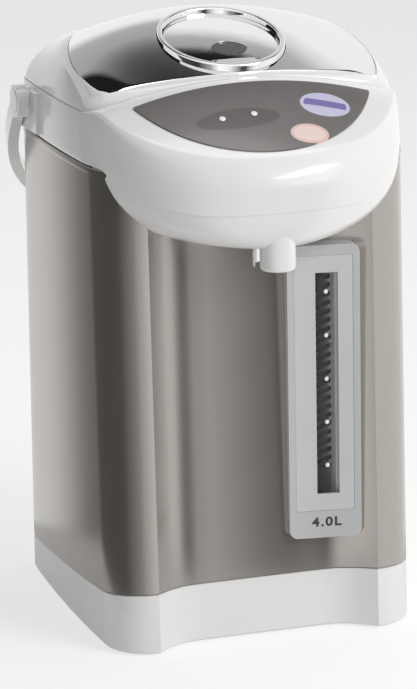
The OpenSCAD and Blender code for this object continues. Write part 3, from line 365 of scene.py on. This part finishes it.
def cut_box(piece, low, high):
    """Takes a box, in millimetres, out of a piece."""
    block = bmesh.new()
    bmesh.ops.create_cube(block, size=1)
    centre = (Vector(low) + Vector(high)) / 2
    bmesh.ops.scale(block, vec=Vector(high) - Vector(low), verts=block.verts)
    bmesh.ops.translate(block, vec=centre, verts=block.verts)
    bmesh.ops.scale(block, vec=(MM, MM, MM), verts=block.verts)
    mesh = bpy.data.meshes.new("cutter")
    block.to_mesh(mesh)
    block.free()
    cutter = bpy.data.objects.new("cutter", mesh)
    bpy.context.scene.collection.objects.link(cutter)
    cut = piece.modifiers.new("cut", "BOOLEAN")
    cut.object, cut.operation, cut.solver = cutter, "DIFFERENCE", "EXACT"
    bpy.context.view_layer.update()
    evaluated = piece.evaluated_get(bpy.context.evaluated_depsgraph_get())
    done = bpy.data.meshes.new_from_object(evaluated)
    piece.modifiers.remove(cut)
    piece.data = done
    bpy.data.objects.remove(cutter)
    return piece


print("helpers are ready")

# %% [markdown]
# ## Plain finishes for what stays a solid
# Most inner parts keep their solid and only change their surface. The bellows and the return
# spring are the exception: each gets a welded copy with a mesh of its own in place of its solid.

# %% Inner parts
inner_finishes = {
    "bottom_screws": steel, "pot_bracket": steel, "bracket_nut": steel, "heater_plate": cast,
    "thermostats": ceramic, "thermal_fuse": ceramic, "keep_warm_band": mica, "outlet_elbow": steel,
    "lower_hose": silicone, "upper_hose": silicone, "spout_pipe": silicone,
    "level_tube": tube_glass, "valve_housing": inner, "valve_weight": steel,
    "inlet_pins": pins_brass, "control_board": board_green,
    "gauge_channel": inner, "handle_pins": steel, "hinge_pin": steel, "catch_plate": steel,
    "lid_hinge_lug": inner, "pump_housing": inner, "lid_gasket": silicone,
    "vent_tube": inner, "latch_pin": steel, "bellows_head": inner,
    "mouth_ring": inner, "gauge_window": window_glass, "inner_pot": pot_steel, "inner_lid": steel}
for name, finish in inner_finishes.items():
    finish_solid(name, finish)


def sprung(node, finish):
    """A welded copy of a soft solid, with a mesh of its own, that stands in for it."""
    bm = welded(node)
    piece = new_piece(node + "_sprung", bm, finish, body_of_node[node], [node])
    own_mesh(piece)
    return piece


sprung("bellows", rubber)
sprung("return_spring", steel)
print("inner parts finished:", len(inner_finishes))

# %% [markdown]
# ## Jacket, base and the small outer mouldings
# The jacket is one sheet bent round four corners, with a rolled bead on top. The base is a moulding
# with a thin shadow gap above it.

# %% Outer parts that keep their solid's shape
dressed("body_jacket", jacket_metal, 0.25)
dressed("base_cover", white, 0.5, 3)
dressed("rubber_feet", rubber, 0.4)
dressed("bottom_plate", inner, 0.5)
dressed("nozzle", white, 0.5, 3)
dressed("nozzle_guard", chrome, 0.15)
dressed("handle_mounts", white, 0.8, 3)
dressed("bail_handle", white, 1.9, 4, angle=50)
dressed("handle_caps", white, 0.4)
dressed("hinge_bracket", white, 0.8, 3)
dressed("inlet_housing", black, 0.6, 3)
dressed("lid_tray", white, 0.6)
dressed("plate_ring", chrome, 0.8, 4)
dressed("press_plate", chrome, 0.5, 3)
dressed("lid_latch", chrome, 0.4, 3)
dressed("vent_insert", vent_black, 0.3)
dressed("gauge_frame", silver, 0.7, 3)
print("outer parts dressed")

# %% [markdown]
# ## The outlines that the upper mouldings share
# Collar, beak, lid and cap all follow one plan: a rounded square whose front half swells into a
# beak. The plan is written once, in millimetres, with a finer step than the solids use, and each
# moulding asks for it with its own inset. A loft then starts as a ring of edges and is extruded
# from one outline to the next.

# %% Outlines and lofts
HALF_W, HALF_D, BULGE, FLARE, JACKET_TOP = 94, 94, 2, 8, 278.5
FRONT_R, REAR_R, DIP, BEND_Y, WALL = 26, 28, 14, 50, 2.4
SEAM_Z, NOSE_Y, NOSE_Z, DECK_Z, LID_FRONT, LID_TOP = 307.5, 138, 269.5, 323, 72, 352.5
PRESS_Y, RING_R, CAP_R = 28.5, 36.6, 88
DECK_SLOPE, DECK_CROWN, BROW_R = 0.735, 8.3, 10
DOME_FALL, DOME_Y, DOME_SOFT = 0.43, 14, 18
BEAK_FULL, LID_FULL, NOZZLE_FULL, BOWL_FULL, SKIRT_FULL = 2.15, 4, 2.2, 2.3, 1.6
LID_INSET = 1.4
FRONT, SIDE, CORNER, REAR = 84, 24, 18, 18  # steps along each stretch of the plan


def mix(a, b, t):
    return a + (b - a) * t


def power(x, e):
    return math.copysign(abs(x) ** e, x)


def eased(t):
    t = min(1, max(0, t))
    return t * t * (3 - 2 * t)


def side_x(k, front, rear, y):
    return k + BULGE * (1 - ((2 * y - front - rear) / (rear - front)) ** 2)


def round_corner(x, y, r, start):
    return [(x + r * math.cos(math.radians(start + 90 * i / CORNER)),
             y + r * math.sin(math.radians(start + 90 * i / CORNER))) for i in range(CORNER)]


def footprint(z, inset=0):
    """The body's rounded square at height z, counter-clockwise from the left end of its front."""
    k, f = HALF_W - BULGE - inset, HALF_D + FLARE * (1 - z / JACKET_TOP) - inset
    rf, rr = FRONT_R - inset, REAR_R - inset
    front, rear, edge = -f + rf, f - rr, FRONT - 2 * CORNER - 2
    plan = [(-side_x(k, front, rear, -BEND_Y), -BEND_Y)] + round_corner(-k + rf, front, rf, 180)
    for i in range(edge):
        t = -1 + 2 * i / edge
        plan.append((t * (k - rf), -f + DIP * (1 - abs(t) ** 9) ** 2))
    plan += round_corner(k - rf, front, rf, -90) + [(k, front)]
    rising = [mix(-BEND_Y, rear, i / SIDE) for i in range(SIDE)]
    plan += [(side_x(k, front, rear, y), y) for y in rising]
    plan += round_corner(k - rr, rear, rr, 0)
    plan += [(mix(k - rr, -k + rr, i / REAR), f) for i in range(REAR)]
    plan += round_corner(-k + rr, rear, rr, 90)
    falling = [mix(rear, -BEND_Y, i / SIDE) for i in range(SIDE)]
    plan += [(-side_x(k, front, rear, y), y) for y in falling]
    return plan


def fronted(inset, half, reach, fullness):
    """The footprint with its front half swapped for half of a superellipse."""
    plan = footprint(JACKET_TOP, inset)
    for i in range(FRONT + 1):
        a = math.radians(180 + 180 * i / FRONT)
        plan[i] = (half * power(math.cos(a), 2 / fullness),
                   -BEND_Y + reach * power(math.sin(a), 2 / fullness))
    return plan


def bend_half(inset):
    k, f = HALF_W - BULGE - inset, HALF_D - inset
    return side_x(k, -f + FRONT_R - inset, f - REAR_R + inset, -BEND_Y)


def collar_outline(inset=0):
    return fronted(inset, bend_half(inset), NOSE_Y - BEND_Y - inset, BEAK_FULL)


def lid_outline(inset=0):
    half = bend_half(inset + LID_INSET)
    return fronted(inset + LID_INSET, half, LID_FRONT - BEND_Y - inset, LID_FULL)


def brow(y):
    return math.hypot(max(0, -LID_FRONT - y), BROW_R)


def deck(x, y):
    return DECK_Z - DECK_SLOPE * (brow(y) - BROW_R) - DECK_CROWN * (x / 70) ** 2


def collar_top(x, y):
    return mix(SEAM_Z, deck(x, y), eased((-BEND_Y - y) / (LID_FRONT - BEND_Y)))


def parting(y):
    return mix(JACKET_TOP + 1.5, NOSE_Z, eased((-HALF_D + 24 - y) / (NOSE_Y - HALF_D + 20)))


def dome(x, y):
    fall = DOME_FALL * (math.hypot(y - DOME_Y, DOME_SOFT) - DOME_SOFT)
    return LID_TOP - fall - (0.00107 + 0.000014 * (y + 66)) * x * x


def loft(rings, bridged=False):
    """Extrudes a closed row of edges from ring to ring; bridged joins the last to the first."""
    bm = bmesh.new()
    row = [bm.verts.new(Vector(p) * MM) for p in rings[0]]
    edges = [bm.edges.new((a, b)) for a, b in zip(row, row[1:] + row[:1])]
    first = list(edges)
    for ring in rings[1:]:
        made = bmesh.ops.extrude_edge_only(bm, edges=edges)["geom"]
        fresh = {v for v in made if isinstance(v, bmesh.types.BMVert)}
        row = [next(e.other_vert(v) for e in v.link_edges if e.other_vert(v) in fresh) for v in row]
        for vert, place in zip(row, ring):
            vert.co = Vector(place) * MM
        edges = [bm.edges.get((a, b)) for a, b in zip(row, row[1:] + row[:1])]
    if bridged:
        bmesh.ops.bridge_loops(bm, edges=first + edges)
    bmesh.ops.recalc_face_normals(bm, faces=bm.faces)
    return bm


print("outline points:", len(footprint(0)))

# %% [markdown]
# ## Collar and deck
# The white collar rises from the jacket's bead, rolls over a generous edge and falls into the
# sloping deck that carries the keys. Its outer rings run up the roll and across the deck to the
# lid's seam, then the wall's inner side comes back down, and the loft is bridged into one shell.

# %% The collar
def collar_ring(inset, drop, roll_angle, across):
    plan = []
    for outer, seam in zip(collar_outline(inset), lid_outline(inset - 0.5)):
        dx, dy = seam[0] - outer[0], seam[1] - outer[1]
        span = math.hypot(dx, dy)
        roll = min(12, span)
        s = mix(roll * (1 - math.cos(roll_angle)), span, across) / span
        x, y = outer[0] + dx * s, outer[1] + dy * s
        z = mix(parting(outer[1]), collar_top(x, y), math.sin(roll_angle))
        plan.append((x, y, z - drop))
    return plan


def collar_foot(inset):
    plan = []
    for x, y in collar_outline(inset):
        rise = parting(y) - JACKET_TOP - 1.5
        plan.append((x, y, parting(y) - max(0, 1 - rise)))
    return plan


quarter = [math.radians(a) for a in range(0, 91, 6)]
strips = [i / 14 for i in range(1, 15)]
rings = [collar_foot(0.6)]
rings += [collar_ring(0, 0, a, 0) for a in quarter]
rings += [collar_ring(0, 0, math.pi / 2, t) for t in strips]
rings += [collar_ring(WALL, WALL, math.pi / 2, t) for t in (1, 0.6, 0.2)]
rings += [collar_ring(WALL, WALL * math.sin(a), a, 0) for a in quarter[::-3]]
rings += [collar_foot(1.7)]
collar = new_piece("collar_shell", loft(rings, True), white, "pot", ["collar"])
weighted(collar, 50)
print("collar:", len(collar.data.polygons), "faces")

# %% [markdown]
# ## The bowl under the beak
# Under the deck hangs a smooth bowl. Its upper outline is the collar's own, half a millimetre in,
# and its lower outline is a small oval round the nozzle. Every upright section between them is a
# quarter of a superellipse, which is fuller than a circle. The end of the loft lies in the jacket.

# %% The bowl
def bowl_ring(inset, a):
    plan = []
    low = fronted(0, 24 - inset, 71 - inset, NOZZLE_FULL)
    for i, top in enumerate(collar_outline(inset + 0.5)):
        out, down = power(math.cos(a), 2 / BOWL_FULL), power(math.sin(a), 2 / BOWL_FULL)
        if 6 <= i <= FRONT - 6:
            plan.append((mix(low[i][0], top[0], out), mix(low[i][1], top[1], out),
                         mix(parting(top[1]) - 0.5, 235.5 + inset, down)))
    return plan


bowl_steps = [math.radians(a) for a in range(0, 91, 5)]
rings = [bowl_ring(0, a) for a in bowl_steps] + [bowl_ring(WALL, a) for a in bowl_steps[::-2]]
bowl = new_piece("bowl_shell", loft(rings, True), white, "pot", ["spout_cover"])
weighted(bowl, 60)
print("bowl:", len(bowl.data.polygons), "faces")

# %% [markdown]
# ## Lid and bright cap
# The lid's white skirt leans in from the seam to the rim of a plated cap. The cap is a shallow dome
# whose height is one formula in x and y, so rings can be laid on it at will. Near its front rim it
# turns down a little more, as pressed metal does, and that is where it mirrors the dark of the room.

# %% The lid
def cap_edge(p):
    dx, dy = p[0], p[1] + PRESS_Y + 1.5
    far = (LID_FRONT - 6 - PRESS_Y - 1.5) / -dy if dy < 0 else 10
    s = min(CAP_R / math.hypot(dx, dy), far)
    return dx * s, -PRESS_Y - 1.5 + dy * s


def lid_ring(inset, a):
    plan = []
    for seam in lid_outline(inset):
        rim = cap_edge(seam)
        out, rise = power(math.cos(a), 2 / SKIRT_FULL), power(math.sin(a), 2 / SKIRT_FULL)
        plan.append((mix(rim[0], seam[0], out), mix(rim[1], seam[1], out),
                     mix(collar_top(*seam), dome(*rim) - inset, rise)))
    return plan


def dome_ring(drop, t, hole, roll=0.0):
    plan, seam = [], lid_outline(0)
    start = math.atan2(seam[0][0], seam[0][1] + PRESS_Y)
    for i, point in enumerate(seam):
        rim = cap_edge(point)
        if i > FRONT:
            a = math.atan2(rim[0], rim[1] + PRESS_Y)
        else:
            a = start - (2 * math.pi + 2 * start) * i / FRONT
        x, y = mix(rim[0], hole * math.sin(a), t), mix(rim[1], -PRESS_Y + hole * math.cos(a), t)
        front = eased((-y - 40) / 26) * eased((0.28 - t) / 0.28)
        plan.append((x, y, dome(x, y) - drop - roll * front))
    return plan


HOLE, CAP_T = RING_R + 0.3, 1.2
rings = [lid_ring(0, a) for a in quarter]
rings += [dome_ring(CAP_T, t, HOLE) for t in (0.008, 0.3, 1)]
rings += [dome_ring(CAP_T + WALL, t, HOLE) for t in (1, 0.3, 0.02)]
rings += [lid_ring(WALL, a) for a in quarter[::-3]]
lid_shell = new_piece("lid_skirt", loft(rings, True), lid_white, "lid", ["lid_shell"])
cut_box(lid_shell, (-35, 86, 305.5), (35, 106, 319.5))
weighted(lid_shell, 50)

cap_steps = [0.012 + 0.988 * (i / 24) ** 1.4 for i in range(25)]
rings = [dome_ring(0, t, HOLE, 1.5) for t in cap_steps]
rings += [dome_ring(CAP_T - 0.4, t, HOLE, 1.2) for t in cap_steps[::-4]]
cap = new_piece("bright_cap", loft(rings, True), chrome, "lid", ["lid_cap"])
weighted(cap, 50)
print("lid:", len(lid_shell.data.polygons), "faces, cap:", len(cap.data.polygons))

# %% [markdown]
# ## The key panel
# A printed film lies on the deck. It is laid as a grid, bent onto the deck's formula and given a
# thickness. The print is generic and painted in the shader: a darker patch round two lamps, a
# lighter sweep below them, and two small ovals.

# %% The panel's print
def printed_film():
    finish = Finish("printed_film", Coat_Weight=0.5, Coat_Roughness=0.08)
    x, y, _ = finish.axes()
    x, y = x * 1000, y * 1000

    def oval(cx, cy, rx, ry, soft=0.06):
        dx, dy = (x - cx) / rx, (y - cy) / ry
        return (dx * dx + dy * dy).below(1, soft)

    cloud = finish.noise(60, 2)
    tone = finish.blend(cloud, (0.165, 0.15, 0.146), (0.185, 0.17, 0.164))
    tone = finish.blend(y.below(-112, 36) * 0.8, finish.blend(0.3, tone, (0.1, 0.088, 0.086)), tone)
    patch = oval(-15.5, -104.2, 24, 6.2, 0.12)
    tone = finish.blend(patch * 0.75, tone, (0.09, 0.08, 0.08))
    sweep = oval(-15.5, -121, 40, 11, 0.05) * (1 - oval(-13, -118.4, 44, 11, 0.05))
    tone = finish.blend(sweep * 0.8, tone, (0.62, 0.6, 0.6))
    lilac = oval(37.7, -97.2, 14.5, 7.9)
    band = (y + 96.6 + (x - 37.7) * 0.12)
    inside = oval(37.7, -97.2, 12.4, 6.6)
    stripe = band.below(2.2, 0.4) * (1 - band.below(-2.2, 0.4)) * inside
    tone = finish.blend(lilac, tone, (0.58, 0.57, 0.75))
    tone = finish.blend(stripe, tone, (0.2, 0.16, 0.42))
    pink = oval(21.9, -116.3, 11, 6.1)
    rim = pink * (1 - oval(21.9, -116.3, 9.2, 4.7))
    tone = finish.blend(pink, tone, (0.84, 0.66, 0.62))
    tone = finish.blend(rim * 0.5, tone, (0.72, 0.4, 0.38))
    finish.set(Base_Color=tone, Roughness=0.3 + cloud * 0.08)
    return finish.bump(lilac + pink, 0.3)


def panel_top_y(x):
    return -LID_FRONT - 8 - 2.7 * (x / 70) ** 2


def panel_low_y(x):
    return -126 + 77.7 - math.sqrt(77.7 ** 2 - x * x)


PANEL_HALF, PANEL_GAP, PANEL_T = 69, 0.25, 0.8
bm = bmesh.new()
bmesh.ops.create_grid(bm, x_segments=120, y_segments=24, size=1)
for vert in bm.verts:
    x, v = vert.co.x * PANEL_HALF, (vert.co.y + 1) / 2
    y = mix(panel_low_y(x), panel_top_y(x), v)
    vert.co = Vector((x, y, deck(x, y) + PANEL_GAP + PANEL_T)) * MM
rim_edges = [e for e in bm.edges if e.is_boundary]
skirt = bmesh.ops.extrude_edge_only(bm, edges=rim_edges)["geom"]
lower = [v for v in skirt if isinstance(v, bmesh.types.BMVert)]
bmesh.ops.translate(bm, vec=(0, 0, -PANEL_T * MM), verts=lower)
bmesh.ops.holes_fill(bm, edges=[e for e in bm.edges if e.is_boundary], sides=0)
bmesh.ops.recalc_face_normals(bm, faces=bm.faces)
panel = new_piece("printed_panel", bm, printed_film(), "pot", ["control_panel"])
weighted(panel, 35)
dressed("lamp_lenses", lens_milk, 0.2)
print("panel:", [round(c * 1000, 1) for c in panel.dimensions])

# %% [markdown]
# ## The level gauge
# Behind the clear slot stands a glass tube before a card of slanting stripes: water bends them, so
# the level shows at a glance. The inlay round the slot is a lighter silver with a fine printed
# capacity. Frame and inlay are dressed copies, and the card keeps its solid under a new finish.

# %% Gauge finishes
GAUGE_X, GAUGE_W, GAUGE_Z, GAUGE_TURN = 37, 42, 56.5, math.radians(8.5)
GAUGE_FACE = 94 + 8 * (1 - GAUGE_Z / JACKET_TOP) - DIP + 4.5 + GAUGE_W / 2 * math.tan(GAUGE_TURN)
SLOT_X, SLOT_Z = 1.75, 26


def gauge_point(x, y, z):
    """A point of the gauge's own frame: x to the right on its face, y into the body, z up."""
    c, s = math.cos(GAUGE_TURN), math.sin(GAUGE_TURN)
    return Vector((GAUGE_X + x * c + y * s, -GAUGE_FACE - x * s + y * c, GAUGE_Z + z)) * MM


def striped_card():
    finish = Finish("striped_card", Roughness=0.45)
    x, _, z = finish.axes()
    along = (x - gauge_point(SLOT_X, 0, 0)[0]) * 1000
    height = (z - GAUGE_Z * MM) * 1000
    slope = (along + 7.5) / 15
    wave = (height - (slope ** 0.55) * 9) * (2 * math.pi / 5.1)
    mask = wave.maths("SINE", wave).below(0.1, 0.7)
    worn = finish.noise(90, 2)
    tone = finish.blend(mask, (0.88, 0.89, 0.88), (0.03, 0.031, 0.033))
    plain = height.below(38, 1.0)
    tone = finish.blend(plain, tone, (0.6, 0.61, 0.6))
    finish.set(Base_Color=finish.blend(worn * 0.15, tone, (0.2, 0.2, 0.2)))
    return finish.bump(mask, 0.2)


finish_solid("gauge_card", striped_card())
gauge_light = moulded("light_silver_inlay", (0.72, 0.725, 0.72), 0.3, drift=0.03, peel=0.0)
gauge_light.set(Metallic=0.25)
dressed("gauge_panel", gauge_light, 0.15)
print("gauge face at y", round(-GAUGE_FACE, 2))

# %% [markdown]
# ## Capacity mark and glint studs
# A capacity in litres is a plain number, as on any scale. The text is turned into a mesh, laid on
# the frame's face and given the thickness of ink. Five pale studs in the slot are painted highlights:
# they stand where the tube shows glints.

# %% Mark and studs
ink = moulded("dark_ink", (0.05, 0.05, 0.055), 0.5, drift=0.2)
INK_SPREAD, INK_T, LETTER_GAP, LETTER_WIDE = 0.00022, 0.00003, 1.2, 1.15
STUDS, STUD_R, FIRST_STUD, STUD_STEP, STUD_IN = 5, 1.3, 16.5, 25.5, 2.6


def gauge_matrix(x, y, z):
    c, s = math.cos(GAUGE_TURN), math.sin(GAUGE_TURN)
    axes = Matrix(((c, 0, s), (-s, 0, c), (0, 1, 0))).to_4x4()
    axes.col[1][0:3], axes.col[2][0:3] = (0, 0, 1), (-s, -c, 0)
    axes.col[0][0:3] = (c, -s, 0)
    return Matrix.Translation(gauge_point(x, y, z)) @ axes


def printed_text(name, words, size, x, y, z):
    curve = bpy.data.curves.new(name, "FONT")
    curve.body, curve.size, curve.align_x = words, size * MM, "CENTER"
    curve.offset, curve.extrude, curve.space_character = INK_SPREAD, INK_T, LETTER_GAP
    text = bpy.data.objects.new(name, curve)
    bpy.context.scene.collection.objects.link(text)
    bpy.context.view_layer.update()
    mesh = bpy.data.meshes.new_from_object(text)
    bpy.data.objects.remove(text)
    bm = bmesh.new()
    bm.from_mesh(mesh)
    bmesh.ops.remove_doubles(bm, verts=bm.verts, dist=1e-6)
    bmesh.ops.scale(bm, vec=(LETTER_WIDE, 1, 1), verts=bm.verts)
    bmesh.ops.transform(bm, matrix=gauge_matrix(x, y, z), verts=bm.verts)
    return new_piece(name, bm, ink, "pot", smooth=False)


printed_text("capacity_mark", "4.0L", 7.4, 0.5, -0.05, 7.0)

# Painted highlights: pale milky beads placed where glints show on the level tube
bm = bmesh.new()
for k in range(STUDS):
    made = bmesh.ops.create_uvsphere(bm, u_segments=20, v_segments=12, radius=STUD_R * MM)["verts"]
    bmesh.ops.scale(bm, vec=(1, 0.5, 1), verts=made)
    place = gauge_point(SLOT_X, STUD_IN, SLOT_Z + FIRST_STUD + STUD_STEP * k)
    bmesh.ops.translate(bm, vec=place, verts=made)
studs = new_piece("glint_studs", bm, lens_milk, "pot")
print("studs:", [round(c * 1000, 1) for c in studs.dimensions])

# %% [markdown]
# ## Table, backdrop and light
# The table is a wide pale sheet. Mixed with a little light of its own it reads as the clean ground
# of a catalogue picture and still takes the soft shadow under the base. Two large soft lamps light
# the pot. A tent of cloth round it and a cloth overhead are seen only by mirrors: their bright and
# dark stretches draw the bands that a studio leaves in lacquer and plating.

# %% Table and lamps
def stage_plane(name, size, matrix):
    bm = bmesh.new()
    bmesh.ops.create_grid(bm, x_segments=1, y_segments=1, size=0.5)
    bmesh.ops.scale(bm, vec=(size[0], size[1], 1), verts=bm.verts)
    bmesh.ops.transform(bm, matrix=matrix, verts=bm.verts)
    mesh = bpy.data.meshes.new(name)
    bm.to_mesh(mesh)
    bm.free()
    plane = bpy.data.objects.new(name, mesh)
    bpy.context.scene.collection.objects.link(plane)
    return plane


def ground():
    finish = Finish("pale_ground", Roughness=0.9, Specular_IOR_Level=0.1)
    cloud = finish.noise(3, 2)
    finish.set(Base_Color=finish.blend(cloud, (0.86, 0.86, 0.86), (0.9, 0.9, 0.9)))
    glow = finish.node("ShaderNodeEmission", values={"Color": (1, 1, 1, 1), "Strength": 1.25})
    seen = finish.node("ShaderNodeLightPath", out="Is Camera Ray")
    mixed = finish.node("ShaderNodeMixShader", values={"Fac": seen * 0.3 + 0.2})
    mixer = mixed.socket.node
    finish.tree.links.new(finish.shader.outputs[0], mixer.inputs[1])
    finish.tree.links.new(glow.socket, mixer.inputs[2])
    finish.tree.links.new(mixed.socket, finish.tree.nodes["Material Output"].inputs[0])
    return finish


floor = stage_plane("ground", (14, 14), Matrix.Translation((0, 2, 0)))
floor.data.materials.append(ground().material)


def only_mirrored(thing):
    thing.visible_camera = thing.visible_diffuse = False
    thing.visible_shadow = thing.visible_transmission = False
    return thing


def glowing(name, turn, stops):
    """Cloth of its own brightness, given by stops along a term that runs from 0 to 1."""
    finish = Finish(name, Roughness=1.0, Specular_IOR_Level=0.0, Base_Color=(0, 0, 0))
    greys = {"stops": [(at, (shade,) * 3) for at, shade in stops]}
    cloth = finish.node("ShaderNodeValToRGB", greys, {"Fac": turn(finish)}, out="Color")
    return finish.set(Emission_Color=cloth, Emission_Strength=1.0).material


# Brightness of the cloth overhead, along its run from above the pot to behind it, in metres
CEILING = [(0.0, 0.01), (0.55, 0.012), (0.6, 0.1), (0.68, 0.42), (0.86, 0.5), (0.98, 0.8),
           (1.15, 1.0)]
CEILING_RUN, CEILING_WIDE, CEILING_Z, CEILING_SKEW, SKEW_X = 1.2, 2.4, 1.24, 0.45, 0.22


def overhead(finish):
    """0 above the pot and 1 at the cloth's far edge; the skew turns the bands a little."""
    x, y, _ = finish.axes()
    return (y + (x - SKEW_X) * CEILING_SKEW) / CEILING_RUN


def ceiling_card():
    middle = Matrix.Translation((0, CEILING_RUN / 2, CEILING_Z))
    card = stage_plane("ceiling_card", (CEILING_WIDE, CEILING_RUN), middle)
    stops = [(y / CEILING_RUN, shade) for y, shade in CEILING]
    card.data.materials.append(glowing("ceiling_cloth", overhead, stops))
    return only_mirrored(card)


def lamp(name, place, aim, size, power):
    light = bpy.data.lights.new(name, "AREA")
    light.shape, light.size, light.energy = "DISK", size, power
    thing = bpy.data.objects.new(name, light)
    away = Vector(place) - Vector(aim)
    turned = away.to_track_quat("Z", "Y").to_matrix().to_4x4()
    thing.matrix_world = Matrix.Translation(place) @ turned
    bpy.context.scene.collection.objects.link(thing)
    return thing


lamp("key", (1.1, -1.6, 1.3), (0, 0, 0.2), 1.2, 25)
lamp("top", (0.3, 0.2, 1.9), (0, 0, 0.2), 1.4, 9)


# Brightness of the tent round the pot, by compass angle in degrees: 0 is in front, plus is right
TENT = [(-180, 1.0), (-139, 0.9), (-128, 0.2), (-109, 0.08), (-49, 0.04), (-31, 0.4), (-18, 1.2),
        (-6, 1.05), (6, 0.45), (13, 0.07), (18, 0.07), (24, 0.5), (32, 1.0), (90, 1.1), (180, 1.0)]
TENT_R, TENT_H = 0.2, 0.33


def compass(finish):
    x, y, _ = finish.axes()
    return x.maths("ARCTAN2", x, 0 - y) / (2 * math.pi) + 0.5


def tent(radius, height):
    """A wall of cloth that only reflections see: it draws the bands of light in the lacquer."""
    bm = bmesh.new()
    bmesh.ops.create_cone(bm, segments=96, radius1=radius, radius2=radius, depth=height,
                          cap_ends=False)
    bmesh.ops.translate(bm, vec=(0, 0, height / 2 + 0.001), verts=bm.verts)
    mesh = bpy.data.meshes.new("tent")
    bm.to_mesh(mesh)
    bm.free()
    wall = bpy.data.objects.new("tent", mesh)
    bpy.context.scene.collection.objects.link(wall)
    stops = [(angle / 360 + 0.5, shade) for angle, shade in TENT]
    mesh.materials.append(glowing("tent_cloth", compass, stops))
    return only_mirrored(wall)


tent(TENT_R, TENT_H)
ceiling_card()

world = bpy.data.worlds.new("studio")
bpy.context.scene.world = world
world.use_nodes = True
sky = world.node_tree
path = sky.nodes.new("ShaderNodeLightPath")
seen = Term(sky, path.outputs["Is Camera Ray"]) + Term(sky, path.outputs["Is Glossy Ray"]) + Term(
    sky, path.outputs["Is Transmission Ray"])
strength = seen.maths("MINIMUM", seen, 1.0) * 0.72 + 0.28
sky.nodes["Background"].inputs["Color"].default_value = (1, 1, 1, 1)
sky.links.new(strength.socket, sky.nodes["Background"].inputs["Strength"])
bpy.context.scene.view_settings.view_transform = "Standard"
print("table and lamps are in place")

# %% [markdown]
# ## Closing the scene
# The dressed pot must keep the size of the imported one.

# %% Finish
bpy.context.view_layer.update()
